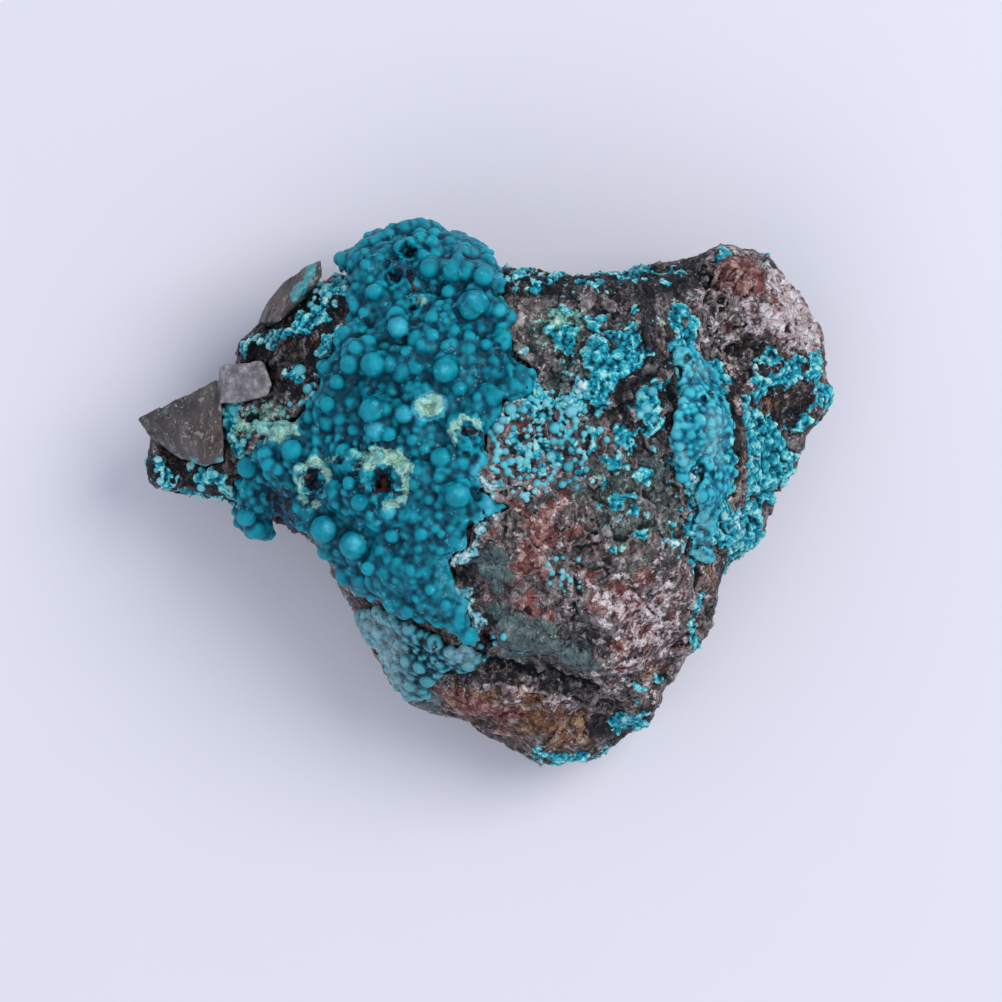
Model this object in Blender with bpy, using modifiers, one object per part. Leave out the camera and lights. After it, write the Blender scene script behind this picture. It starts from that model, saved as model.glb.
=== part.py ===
"""Chrysocolla specimen: a broken host rock with crusts of chrysocolla and three quartz crystals.

The host rock is a loft round its outline, from a flat resting face up to a surveyed top. Each
crust is grown outward from a patch of that rock, with its round lumps fused to it. The script
works in millimetres and writes metres, +Z up, with the flat resting face on Z = 0.
"""

import math

import bmesh
import bpy
import numpy as np
from mathutils import Vector, noise
from mathutils.bvhtree import BVHTree

MM = 0.001

CRYSTAL_GAP = 0.56  # clearance cut in the rock round each crystal
CRUST_GAP = 0.5  # cut under a crust before its mesh is thinned, which takes some of it back
FOOT_Z = 0.0  # the flat resting face
FOOT_POLE_Z = -2.0  # the loft runs on to here, below the cut that makes the resting face
FLOOR_CUTTER = (120.0, 120.0, 40.0)  # size of the block that cuts the resting face
RIM_STEPS = 180  # points in each ring of the loft
TOP_RINGS = 20
RING_SPACING = 0.8  # under 1 sets the rings of the top closer together towards the rim
RIM_SHARE = 0.975  # where the last ring of the top stands, as a share of the widest radius
ROUNDED_FROM = 0.93  # the top bends down to its rim height from this share of the radius
TOP_POLE = (-0.5, 4.6)
SPOT_REACH = 2.3  # how far each surveyed height spreads
BREAK_EDGE = 1.5  # softness of a broken face where it dies out
HOLE_DEPTH = 1.3  # of the hollows in the main crust
CRUST_BED = 1.3  # how far the rock is lowered to seat the main crust
BED_EDGE = 0.6  # the bed starts this far inside the crust, and is this soft
BED_FLOOR = 10.0  # the rock above this height keeps calm under the crust
BED_CALM = 0.7  # and loses this share of its chips

CRUST_LOWEST = 11.5  # the main crust takes no rock below this height
CRUST_INWARD = 1.0  # how far its slab reaches into the rock
CRUST_THICKNESS = 2.1
VEIN_LOWEST = 15.0
VEIN_THICKNESS = 1.1
LEDGE_LOWEST = 8.0
LEDGE_THICKNESS = 0.9
SMALL_INWARD = 0.8  # of the two small crusts
MAIN_SINK = 0.05  # share of its radius by which a main lump is sunk into the slab
SEEDED_SINK = 0.4
SMALL_SINK = 0.3
SEEDED_RADII = (0.6, 0.9)
SMALL_RADII = (0.45, 0.85)
RING_BALLS = 14

ROCK_VOXEL = 0.5
ROCK_TRIANGLES = 4900
CRUST_VOXEL = 0.26
CRUST_TRIANGLES = 3700
VEIN_TRIANGLES = 460
LEDGE_TRIANGLES = 420

CHIPS = ((6.5, 0.85), (3.0, 0.32))  # size and depth of the flats broken into the rock
SIDE_CHIPS = ((11.0, 2.2),)  # more of them on the steep sides only
LEDGE_HEIGHT = 4.6  # the sides are broken into shelves this far apart
LEDGE_DEPTH = 1.7
RIM_CALM = 0.7  # no chip stands out past the widest line, from this far inside it
WIDEST_BAND = 2.2  # and none cuts into it within this height
LUMP_SCALE = 1.18  # the main lumps stand this much larger than the small ones fused round them

# Plan of the rock at its widest, anticlockwise from above, starting at the tip of the left arm.
OUTLINE = (
    (-34.5, 7.6), (-33.5, 8.4), (-30.4, 9.5), (-26.4, 11.6), (-26.4, 12.8), (-24.8, 13.1),
    (-25.2, 14.4), (-24.4, 16), (-22.6, 18.2), (-20.4, 20.2), (-18.9, 21), (-16.6, 21.6),
    (-13.6, 21.8), (-11.6, 23.2), (-9.2, 24.4), (-6.9, 25.1), (-5.3, 25), (-3.3, 24),
    (-2, 23.4), (-0.6, 22.5), (2, 22.3), (4, 22.3), (6, 22.5), (11.6, 22.4), (15.6, 22.6),
    (19.6, 23.1), (20.8, 23.4), (22.1, 23.6), (22.4, 24.1), (23.1, 24.9), (25.1, 25.1),
    (27.1, 24.4), (28.4, 24), (29.9, 23), (31.1, 21.8), (32.1, 20.9), (32.8, 19.7),
    (33.5, 17.8), (34.2, 15.6), (34, 14.1), (34.1, 11.4), (35, 10.4), (34.9, 8.6), (33.5, 6.9),
    (32.1, 5.3), (32, 3.8), (31.4, 2.4), (29.4, 0.6), (28.4, -1.2), (27.6, -3.6), (26.4, -5.4),
    (25.1, -6.5), (24.1, -6.9), (23.8, -8.6), (23.1, -10.7), (21.9, -14.7), (20.9, -15.6),
    (19.8, -17.2), (17.9, -20.1), (17.1, -21.9), (15.9, -23.4), (13.6, -24.5), (12.3, -25.9),
    (11.2, -27), (10.1, -27.2), (8.6, -26.9), (7.5, -27), (6.3, -27.4), (3.5, -26.4),
    (2, -25.7), (1.2, -24.8), (0.1, -24.5), (-3, -22.6), (-4.5, -22.1), (-6.5, -21.6),
    (-7.7, -20.8), (-8.2, -19.2), (-9.7, -18.2), (-10.7, -16.4), (-12.1, -14.9),
    (-11.8, -13.2), (-13.4, -11), (-14.7, -9.4), (-15.1, -8.2), (-16.6, -6), (-18.6, -4.2),
    (-19.9, -2.9), (-21.6, -2.4), (-22.8, -2.5), (-23.4, -2.1), (-23.8, -1.4), (-24.1, -0.6),
    (-24.8, -0.1), (-26.4, -0.1), (-28.4, 0.2), (-30.1, -0.5), (-31.2, -0.4), (-33.5, 0.7),
    (-34, 1.8), (-34.9, 4), (-34.1, 4.8), (-34.4, 5.9),
)

# Round the rock by compass angle (0 is +X, 90 is +Y): height of the widest line, height that the
# top has at its rim, and how far in the foot stands, as a share of the radius.
SIDE_PROFILE = (
    (0, 11.0, 15.5, 0.68), (20, 12.0, 16.0, 0.76), (40, 12.0, 17.0, 0.82), (58, 12.0, 17.5, 0.88),
    (75, 13.5, 20.0, 0.92), (92, 13.5, 19.5, 0.88), (108, 14.0, 19.0, 0.80),
    (128, 11.0, 15.5, 0.84), (148, 9.0, 12.5, 0.84), (165, 11.0, 13.5, 0.66),
    (180, 11.0, 13.0, 0.50), (195, 10.5, 12.5, 0.56), (208, 9.0, 12.5, 0.76),
    (228, 8.0, 12.0, 0.90), (250, 6.5, 10.5, 0.92), (270, 6.0, 10.0, 0.88),
    (290, 6.5, 9.5, 0.90), (310, 9.0, 13.0, 0.84), (328, 11.0, 16.0, 0.82),
    (345, 10.5, 15.5, 0.72),
)

# Heights of the top: X, Y, Z.
SPOT_HEIGHTS = (
    (-8.3, 25.2, 20), (-4.4, 25.5, 19), (-6.3, 21.2, 23), (-11.7, 20.3, 21), (-10.7, 13.3, 25),
    (-3.8, 12.3, 26.5), (-0.9, 18.7, 24.5), (-5.3, 8.4, 27), (-11, 8.6, 25.5),
    (-15.1, 9.4, 22.5), (-16.3, 1.6, 23), (-9.9, 1.5, 26), (-2.3, 0.6, 27.5),
    (-12.9, -4.8, 22.5), (-6.2, -6.2, 26), (-15.5, -3.4, 20.5), (-2.8, -12.1, 24.5),
    (-8.3, -9.7, 22.5), (3.5, 16.2, 25.5), (7.4, 17.1, 26.5), (11.3, 20.1, 24), (5.5, 21, 22),
    (16.8, 21, 22), (6.4, 6.4, 28), (3.5, -2.3, 28.5), (8.8, -0.4, 28), (1.6, 2.5, 27.5),
    (13.2, 5.4, 28.5), (13.2, 13.2, 28), (16.6, 16.1, 27), (15.6, -5.3, 28), (21, 6.4, 28),
    (21, -0.4, 27), (20.1, 17.2, 25), (20.3, 21.8, 20), (25.6, 9.4, 22), (24.6, 3.5, 23),
    (27.2, 5.5, 19.5), (31.4, 5.6, 16), (28.4, 0.6, 17), (25.3, -3.4, 18), (23, -6.3, 21),
    (30.3, 11.5, 17.5), (34, 10.1, 15.5), (21.3, -11.2, 20), (25.6, 20.2, 23), (29, 19.2, 22),
    (24.3, 23.8, 18), (32.8, 16.5, 18), (23.7, 15.8, 21), (27.2, 14.9, 19),
    (11.3, -10.1, 27.5), (16.7, -10.2, 25), (19.8, -14.2, 18), (5.4, -14, 26.5),
    (1.6, -14.1, 25), (13.3, -16.1, 24), (16.9, -18.2, 19), (15.5, -21.8, 14),
    (7.4, -19.1, 22), (0.6, -19.2, 19), (3.5, -22.2, 17), (7.5, -24.9, 13), (12.1, -23.9, 12),
    (-4.4, -20.3, 15), (10.6, -26.7, 9.5), (1.6, -24.4, 13), (-10.4, -14.3, 15),
    (-6.4, -16.3, 17), (-13.8, -9.3, 16), (-17.4, -6.2, 14.5), (-8, -19.4, 11),
    (-13, -12.4, 11), (-2.4, -15.7, 20), (-23.3, 13, 16), (-24.4, 15.4, 13),
    (-18.1, 13.4, 20.5), (-18.3, 19.4, 17), (-13.8, 21.9, 18), (-15.2, 16.3, 21),
    (-21.1, 7.5, 19.5), (-24.2, 6.5, 17.5), (-26.2, 9.5, 15), (-30.3, 6.6, 13),
    (-33.4, 7.1, 12), (-30.4, 0.8, 13), (-33.9, 3.1, 12), (-25.3, 1.1, 15),
    (-23.4, -2.6, 13.5), (-19.8, -1.9, 15),
)

# Plans of the crusts, seen from above.
CRUST_EDGE = (
    (-11.7, 24.5), (-10.6, 25.4), (-9, 25.8), (-7.4, 26.5), (-6.3, 26.8), (-5.3, 26.9),
    (-4.3, 26), (-2.8, 25.8), (-1.3, 25.3), (-1, 23.5), (0.3, 22.6), (1.3, 21.5), (1.8, 18.7),
    (1.8, 17.4), (0.8, 16.4), (2, 15.2), (3.5, 13.1), (4.5, 11.8), (3.7, 10.4), (2.3, 9.4),
    (-0.6, 7.6), (0.3, 4.5), (-1.1, 2.5), (0.2, 0.6), (0.6, -1.2), (-0.4, -2.4), (-1.8, -5.1),
    (-4.2, -6.3), (-4.5, -7.2), (-3.8, -8.2), (-1.8, -10.2), (-1.2, -11.2), (-0.9, -13.1),
    (-2.6, -12.7), (-4.9, -12.1), (-7.2, -10.8), (-8.4, -9.8), (-10, -9.1), (-11.4, -8.2),
    (-12.7, -7), (-13.9, -6.3), (-15.1, -5.1), (-16.1, -4), (-17, -2.7), (-18.6, -1),
    (-18.4, 0.1), (-20.2, -0.4), (-21.7, -0.1), (-21.7, -0.8), (-21.3, -2.2), (-21.5, -3.2),
    (-22.4, -3.6), (-23.2, -3.2), (-24, -2.1), (-24.2, -0.9), (-23.6, 0.6), (-22.9, 2.5),
    (-22.4, 4.5), (-21.7, 5.7), (-20, 5.9), (-18, 6.9), (-16.2, 7.6), (-16.1, 9.9),
    (-15.1, 12.8), (-13.6, 14.8), (-12.9, 16.2), (-13.3, 18.2), (-12.9, 19.6), (-13.1, 21.6),
    (-12.5, 23.3),
)
VEIN_EDGE = (
    (17.9, 14.2), (20, 14), (22.2, 12), (23.1, 9.3), (23.7, 5.4), (23.7, 1.5), (22.2, 0.6),
    (22, -2.3), (22.2, -6.2), (20, -6.2), (19.8, -3.3), (20.8, -1.6), (21, 0.4), (19.3, 1.2),
    (18.3, 3.3), (17.9, 5.9), (18.7, 7.9), (19.4, 9.3), (18.5, 11.5),
)
LEDGE_EDGE = (
    (-12.1, -11.3), (-10.4, -10.5), (-8.6, -11.5), (-6.4, -13.1), (-4.4, -13.9), (-1.4, -14.5),
    (-0.4, -15.3), (-1.4, -16.5), (-4.4, -17.1), (-5.4, -19.3), (-7.4, -20.5), (-8.4, -19.3),
    (-9.9, -17.7), (-10.8, -16), (-12.1, -14.5),
)

# Round lumps of the main crust: X, Y, radius.
LUMPS = (
    (-10.7, 20, 0.9), (-8.4, 24.5, 0.7), (-5.3, 22.3, 1), (-2.7, 22.1, 1.3), (-1.6, 22.1, 1),
    (-0.2, 21.4, 1), (-0.9, 18.6, 1.5), (1.6, 18.1, 0.8), (-5.2, 17.3, 0.75), (-8.7, 17.9, 1),
    (-8.2, 16.3, 1.1), (-11.2, 15, 0.9), (-12.6, 14.4, 0.8), (-13, 13, 1), (-10.7, 12.9, 1.3),
    (-9.4, 12.8, 0.9), (-3.8, 12.3, 1.3), (-6.6, 12.5, 0.7), (-2.5, 10.4, 0.8),
    (-14.5, 11.1, 0.8), (-11, 8.6, 1.3), (-9.8, 8.4, 0.8), (-15.3, 9, 0.8), (-7.8, 7.8, 1),
    (-10.7, 6.3, 1.1), (-9.5, 5.8, 0.8), (-4.2, 3.3, 1.1), (-2.5, 0.2, 1.3), (-6.8, 1, 0.7),
    (-9.4, -1.6, 0.9), (-12.8, -4.8, 1.5), (-15.3, -3.3, 1.4), (-11.4, -7, 0.8),
    (-8.9, -3.8, 0.8), (-6.2, -3.7, 0.7), (-13.1, 1.1, 0.7), (-12.1, -0.4, 0.9),
    (-21.2, 4.2, 0.9), (-18.8, 4.5, 1.1), (-20.9, 3, 0.8), (-23.5, -2.2, 1),
    (-22.7, -3.1, 1.1), (-18.2, -1.1, 0.7), (-18, -2.8, 0.7), (1, -2.8, 0.7),
)
# Raised rings round a hollow: X, Y, radius of the ring, radius of its hole.
EYES = ((-5.3, 8.7, 1.0, 0.5), (-16.7, 1.6, 1.5, 0.8), (-10, 1.6, 1.6, 0.9), (-1.9, 6.2, 1.3, 0.7))
# Openings in the crust down to the rock: X, Y, radius.
CRUST_HOLES = ((-8.7, 21.6, 0.8), (-7.4, 24, 0.7), (-7, 18.3, 0.6))

# Hollows in the rock: X, Y, radius, depth.
PITS = (
    (-20, -1.4, 1.6, 3.5), (9.1, -14.1, 1.7, 3.0), (11.3, -21.9, 1.8, 3.0),
    (-0.2, -14.1, 1.1, 2.0), (-2.6, -7.9, 1.1, 1.2), (-20.5, 7.2, 0.9, 1.6),
    (-23.1, 7.8, 0.8, 1.5), (18.2, 9.9, 1.2, 1.6),
)
# Ridges (height over zero) and grooves (under zero) along a line: height, half width, points.
RIDGES = (
    (1.8, 0.8, ((15.6, 19), (16.1, 14.6), (17.1, 13.2), (14.4, 11.4), (13.7, 9.8), (14.7, 7.8))),
    (1.9, 1.0, ((21.1, 20.1), (23.2, 14.7), (25.5, 9.4))),
    (1.6, 0.7, ((24.3, 7), (25.1, 3.5), (25.6, -0.4))),
    (1.6, 0.7, ((26, 8.5), (27, 5), (27.7, 1.6))),
    (1.5, 0.7, ((23.3, -6.3), (22.5, -10.3), (21.3, -14.2))),
    (1.4, 0.6, ((1.3, -18.7), (5.5, -19.3), (11.2, -20.8))),
    (0.8, 0.7, ((16.9, 19.2), (17.1, 16.1), (16.7, 14))),
    (-2.0, 0.9, ((-0.6, -15.6), (3.5, -16.9), (7.4, -18.4), (11.4, -20))),
    (-2.0, 1.0, ((21.7, 23), (22.4, 19.3), (22.8, 14.8), (25.9, 14.2))),
)
# Areas that stand up from the rock round them: height, softness of the edge, outline.
TERRACES = (
    (0.6, 0.5, ((9.8, 14.2), (11.3, 16.6), (12.7, 15.1), (14.2, 17.1), (15.6, 15.6),
                (15.6, 13.2), (13.2, 9.3), (11.3, 9.1), (10.1, 12.2))),
    (0.7, 0.4, ((0.6, -14), (2, -12.3), (5.5, -11.9), (7.9, -13.1), (7.6, -15), (4.5, -16),
                (1.6, -15.6))),
)
# Broken faces: each is a plane through three points, and it takes off what stands above it
# inside a circle (X, Y, radius).
BREAKS = (
    (((0.0, -19.0, 19.5), (10.5, -20.4, 19.0), (5.0, -26.5, 11.0)), (5.0, -22.5, 7.0)),
    (((23.2, 8.0, 25.5), (22.6, -6.0, 22.5), (29.5, 2.0, 14.5)), (27.5, 1.5, 8.5)),
    (((20.0, -11.0, 22.0), (16.0, -19.0, 19.0), (20.5, -17.0, 13.5)), (20.0, -15.0, 5.5)),
    (((5.0, 21.6, 22.5), (18.0, 21.9, 22.5), (11.0, 22.8, 15.0)), (11.0, 23.0, 8.0)),
    (((30.5, 20.0, 21.5), (32.0, 14.0, 17.0), (34.0, 19.0, 13.0)), (33.0, 18.0, 5.0)),
)

# Corners of each crystal.
WEDGE = (
    (-34.6, 7.7, 14.0), (-26.1, 11.6, 17.6), (-25.8, 3.4, 17.9), (-27.7, 2.9, 15.6),
    (-30.7, 3.9, 14.2), (-33.4, 5.9, 13.4), (-33.6, 7.5, 10.6), (-26.8, 10.9, 9.0),
    (-26.4, 4.0, 9.6), (-30.2, 4.7, 10.0),
)
BLOCK = (
    (-26.3, 12.9, 18.6), (-21.9, 13.3, 20.0), (-20.9, 11.0, 20.8), (-21.4, 9.9, 20.2),
    (-24.6, 9.1, 19.2), (-26.1, 9.2, 18.4), (-26.0, 12.4, 11.5), (-21.8, 12.8, 11.0),
    (-21.6, 10.2, 12.0), (-25.6, 9.4, 11.0),
)
SHARD = (
    (-22.6, 17.2, 16.0), (-21.6, 19.2, 16.4), (-19.9, 21.0, 17.6), (-17.6, 22.7, 18.6),
    (-16.1, 23.4, 18.4), (-16.0, 21.7, 19.6), (-18.2, 20.2, 20.6), (-20.2, 17.2, 20.2),
    (-21.8, 16.8, 12.5), (-20.4, 19.8, 12.5), (-17.0, 22.4, 15.0), (-17.4, 19.8, 12.0),
)

TEAL = (0.0, 0.21, 0.26, 1.0)
VEIN_TEAL = (0.02, 0.33, 0.38, 1.0)
PALE_BLUE = (0.22, 0.33, 0.36, 1.0)
BROWN = (0.10, 0.055, 0.045, 1.0)
SMOKY = (0.07, 0.06, 0.055, 1.0)
GREY = (0.16, 0.14, 0.12, 1.0)


# --- scene and object helpers -------------------------------------------------------------


def clear_scene():
    for old in list(bpy.data.objects):
        bpy.data.objects.remove(old, do_unlink=True)


def collection_named(name, hidden):
    made = bpy.data.collections.new(name)
    bpy.context.scene.collection.children.link(made)
    made.hide_render = hidden
    return made


def object_from(name, points, faces, collection):
    """A mesh object from points in millimetres."""
    mesh = bpy.data.meshes.new(name)
    mesh.from_pydata([tuple(c * MM for c in point) for point in points], [], faces)
    mesh.validate()
    made = bpy.data.objects.new(name, mesh)
    collection.objects.link(made)
    return made


def bake(obj):
    """Replaces an object's mesh with what its modifiers make of it."""
    bpy.context.view_layer.update()
    graph = bpy.context.evaluated_depsgraph_get()
    mesh = bpy.data.meshes.new_from_object(obj.evaluated_get(graph))
    obj.modifiers.clear()
    obj.data = mesh


def remesh(obj, voxel_mm):
    modifier = obj.modifiers.new("Voxels", "REMESH")
    modifier.mode = "VOXEL"
    modifier.voxel_size = voxel_mm * MM
    modifier.use_smooth_shade = False
    bake(obj)


def decimate(obj, triangles):
    obj.data.calc_loop_triangles()
    modifier = obj.modifiers.new("Fewer faces", "DECIMATE")
    modifier.ratio = min(1.0, triangles / len(obj.data.loop_triangles))
    modifier.use_collapse_triangulate = True
    bake(obj)


def smooth(obj, factor, steps):
    modifier = obj.modifiers.new("Soften", "SMOOTH")
    modifier.factor = factor
    modifier.iterations = steps
    bake(obj)


def boolean(obj, other, operation):
    modifier = obj.modifiers.new(operation.title(), "BOOLEAN")
    modifier.operation = operation
    modifier.solver = "EXACT"
    modifier.use_self = operation == "DIFFERENCE"
    modifier.object = other
    bake(obj)


def copy_of(obj, name, collection):
    made = bpy.data.objects.new(name, obj.data.copy())
    collection.objects.link(made)
    return made


def grown(obj, name, distance_mm, collection):
    """A copy of a closed body with each point moved out along its normal."""
    made = copy_of(obj, name, collection)
    mesh = made.data
    normals = [vertex.normal.copy() for vertex in mesh.vertices]
    for vertex, normal in zip(mesh.vertices, normals):
        vertex.co += normal * (distance_mm * MM)
    mesh.update()
    return made


def keep_largest(obj):
    """Drops every loose body but the one with the most volume, and makes faces point out."""
    body = bmesh.new()
    body.from_mesh(obj.data)
    bmesh.ops.triangulate(body, faces=body.faces)
    body.faces.ensure_lookup_table()
    reached = set()
    islands = []
    for start in body.faces:
        if start.index in reached:
            continue
        members = []
        waiting = [start]
        reached.add(start.index)
        while waiting:
            face = waiting.pop()
            members.append(face)
            for edge in face.edges:
                for other in edge.link_faces:
                    if other.index not in reached:
                        reached.add(other.index)
                        waiting.append(other)
        islands.append(members)
    best = max(islands, key=volume_under)
    spare = [face for members in islands if members is not best for face in members]
    bmesh.ops.delete(body, geom=spare, context="FACES")
    bmesh.ops.recalc_face_normals(body, faces=body.faces)
    body.to_mesh(obj.data)
    body.free()
    obj.data.update()


def volume_under(faces):
    """Six times the volume that a closed run of triangles holds."""
    corners = [[corner.co for corner in face.verts] for face in faces]
    return sum(a.dot(b.cross(c)) for a, b, c in corners)


def give_material(obj, name, colour, roughness):
    material = bpy.data.materials.new(name)
    material.use_nodes = True
    shader = material.node_tree.nodes["Principled BSDF"]
    shader.inputs["Base Color"].default_value = colour
    shader.inputs["Roughness"].default_value = roughness
    material.diffuse_color = colour
    obj.data.materials.clear()
    obj.data.materials.append(material)


# --- plan geometry ------------------------------------------------------------------------


def segment_distance(x, y, start, end):
    """Distance of plan points from one straight stretch."""
    ax, ay = start
    dx, dy = end[0] - ax, end[1] - ay
    along = np.clip(((x - ax) * dx + (y - ay) * dy) / (dx * dx + dy * dy), 0.0, 1.0)
    return np.hypot(x - ax - along * dx, y - ay - along * dy)


def line_distance(x, y, points):
    stretches = [segment_distance(x, y, a, b) for a, b in zip(points, points[1:])]
    return np.min(stretches, axis=0)


def inside_distance(x, y, outline):
    """Distance from the edge of a plan area: over zero inside it, under zero outside."""
    closed = tuple(outline) + (outline[0],)
    distance = line_distance(x, y, closed)
    inside = np.zeros(np.shape(x), bool)
    for (ax, ay), (bx, by) in zip(closed, closed[1:]):
        crosses = (ay > y) != (by > y)
        if ay != by:
            inside ^= crosses & (x < ax + (y - ay) * (bx - ax) / (by - ay))
    return np.where(inside, distance, -distance)


def soft_step(value, width):
    return np.clip(0.5 + value / (2.0 * width), 0.0, 1.0)


def outline_radius(angle):
    """Distance from the pole to the outline along one angle."""
    px, py = TOP_POLE
    dx, dy = math.cos(angle), math.sin(angle)
    closed = OUTLINE + (OUTLINE[0],)
    best = 0.0
    for (ax, ay), (bx, by) in zip(closed, closed[1:]):
        ex, ey = bx - ax, by - ay
        cross = dx * ey - dy * ex
        if abs(cross) < 1e-9:
            continue
        reach = ((ax - px) * ey - (ay - py) * ex) / cross
        share = ((ax - px) * dy - (ay - py) * dx) / cross
        if reach > 0 and 0 <= share <= 1:
            best = max(best, reach)
    return best


def side_profile(angle):
    degrees = math.degrees(angle) % 360.0
    stations = [row[0] for row in SIDE_PROFILE] + [360.0]
    columns = []
    for column in (1, 2, 3):
        values = [row[column] for row in SIDE_PROFILE] + [SIDE_PROFILE[0][column]]
        columns.append(float(np.interp(degrees, stations, values)))
    return columns


# --- the rock -----------------------------------------------------------------------------


def top_height(x, y):
    """Height of the rock's top at plan points, with its ridges, hollows and broken faces."""
    x = np.asarray(x, float)
    y = np.asarray(y, float)
    total = np.zeros(x.shape)
    weights = np.zeros(x.shape)
    for sx, sy, sz in SPOT_HEIGHTS:
        weight = np.exp(-((x - sx) ** 2 + (y - sy) ** 2) / (2.0 * SPOT_REACH**2)) + 1e-12
        total += weight * sz
        weights += weight
    height = total / weights
    for (first, second, third), (cx, cy, radius) in BREAKS:
        a, b, c = Vector(first), Vector(second), Vector(third)
        normal = (b - a).cross(c - a)
        plane = a.z - ((x - a.x) * normal.x + (y - a.y) * normal.y) / normal.z
        near = soft_step(radius - np.hypot(x - cx, y - cy), BREAK_EDGE)
        height = np.where(plane < height, height + (plane - height) * near, height)
    for rise, half_width, points in RIDGES:
        height = height + rise * np.exp(-((line_distance(x, y, points) / half_width) ** 2))
    for rise, edge, outline in TERRACES:
        height = height + rise * soft_step(inside_distance(x, y, outline), edge)
    for px, py, radius, depth in PITS:
        height = height - depth * np.exp(-(np.hypot(x - px, y - py) / radius) ** 2)
    bed = soft_step(inside_distance(x, y, CRUST_EDGE) - BED_EDGE, BED_EDGE)
    height = height - CRUST_BED * bed
    return np.round(height, 3)


def loft_rock(collection):
    """Rings from the top pole out to the widest line, then in and down to the foot."""
    angles = [2.0 * math.pi * step / RIM_STEPS for step in range(RIM_STEPS)]
    rims = [outline_radius(angle) for angle in angles]
    sides = [side_profile(angle) for angle in angles]
    rings = []
    for ring in range(1, TOP_RINGS + 1):
        share = RIM_SHARE * (ring / TOP_RINGS) ** RING_SPACING
        xs = np.array([TOP_POLE[0] + share * r * math.cos(a) for a, r in zip(angles, rims)])
        ys = np.array([TOP_POLE[1] + share * r * math.sin(a) for a, r in zip(angles, rims)])
        zs = top_height(xs, ys)
        edge = max(0.0, (share - ROUNDED_FROM) / (RIM_SHARE - ROUNDED_FROM))
        zs = [z + (max(side[1], 0.85 * z) - z) * edge for z, side in zip(zs, sides)]
        rings.append(list(zip(xs, ys, zs)))
    for share_of, height_of in (
        (lambda foot: 1.0, lambda widest: widest),
        (lambda foot: RIM_SHARE, lambda widest: 0.6 * widest),
        (lambda foot: 0.45 + 0.55 * foot, lambda widest: 0.36 * widest),
        (lambda foot: foot + 0.02, lambda widest: 0.12 * widest),
        (lambda foot: foot, lambda widest: -0.6),
        (lambda foot: 0.5 * foot, lambda widest: FOOT_POLE_Z),
    ):
        ring = []
        for angle, rim, (widest, _, foot) in zip(angles, rims, sides):
            reach = rim * share_of(foot)
            x = TOP_POLE[0] + reach * math.cos(angle)
            y = TOP_POLE[1] + reach * math.sin(angle)
            ring.append((x, y, height_of(widest)))
        rings.append(ring)
    points = [(TOP_POLE[0], TOP_POLE[1], float(top_height([TOP_POLE[0]], [TOP_POLE[1]])[0]))]
    for ring in rings:
        points.extend(ring)
    points.append((TOP_POLE[0], TOP_POLE[1], FOOT_POLE_Z))
    last = len(points) - 1
    faces = []
    for step in range(RIM_STEPS):
        after = (step + 1) % RIM_STEPS
        faces.append((0, 1 + step, 1 + after))
        for level in range(len(rings) - 1):
            inner = 1 + level * RIM_STEPS
            outer = inner + RIM_STEPS
            faces.append((inner + step, outer + step, outer + after, inner + after))
        base = 1 + (len(rings) - 1) * RIM_STEPS
        faces.append((base + step, last, base + after))
    return object_from("matrix", points, faces, collection)


def chip_offset(point, size, depth):
    """Offset at a point of a broken surface: one tilted flat for each cell of the given size."""
    scaled = point / size
    cell = noise.voronoi(scaled)[1][0]
    tilt = noise.cell_vector(cell * 9.7) * 2.0 - Vector((1.0, 1.0, 1.0))
    return depth * max(-1.0, min(1.0, (scaled - cell).dot(tilt) * 1.4))


def ledge_offset(point):
    """How far a steep side is set back: each shelf swells out upward, then steps in."""
    level = (point.z + 2.4 * noise.noise(point / 8.0)) / LEDGE_HEIGHT
    return -LEDGE_DEPTH * (1.0 - (level - math.floor(level)))


def break_surface(obj):
    """Chips and shelves, along the normal. The bed of the main crust stays calm."""
    mesh = obj.data
    normals = [vertex.normal.copy() for vertex in mesh.vertices]
    xs = np.array([vertex.co.x / MM for vertex in mesh.vertices])
    ys = np.array([vertex.co.y / MM for vertex in mesh.vertices])
    bed = soft_step(inside_distance(xs, ys, CRUST_EDGE), 1.0)
    rim = soft_step(RIM_CALM - inside_distance(xs, ys, OUTLINE), RIM_CALM)
    for vertex, normal, covered, near_rim in zip(mesh.vertices, normals, bed, rim):
        point = vertex.co / MM
        widest = side_profile(math.atan2(point.y - TOP_POLE[1], point.x - TOP_POLE[0]))[0]
        level = max(0.0, 1.0 - abs(point.z - widest) / WIDEST_BAND)
        calm = 1.0 - BED_CALM * float(covered) * (point.z > BED_FLOOR)
        offset = sum(chip_offset(point, size, depth) for size, depth in CHIPS)
        side = max(0.0, 1.0 - abs(normal.z) * 1.4)
        if side > 0.0:
            offset += side * ledge_offset(point)
            offset += side * sum(chip_offset(point, size, depth) for size, depth in SIDE_CHIPS)
        offset *= calm * (1.0 - 0.9 * float(near_rim) * (level if offset < 0.0 else 1.0))
        vertex.co += normal * (offset * MM)
    mesh.update()


def floor_cutter(collection):
    """A block whose top is the resting face."""
    width, depth, height = (side * MM for side in FLOOR_CUTTER)
    middle = FOOT_Z * MM - 0.5 * height
    bpy.ops.mesh.primitive_cube_add(size=1.0, location=(0.0, 0.0, middle))
    cutter = bpy.context.object
    cutter.name = "floor_cutter"
    for linked in list(cutter.users_collection):
        linked.objects.unlink(cutter)
    collection.objects.link(cutter)
    for vertex in cutter.data.vertices:
        vertex.co.x *= width
        vertex.co.y *= depth
        vertex.co.z *= height
    return cutter


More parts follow.
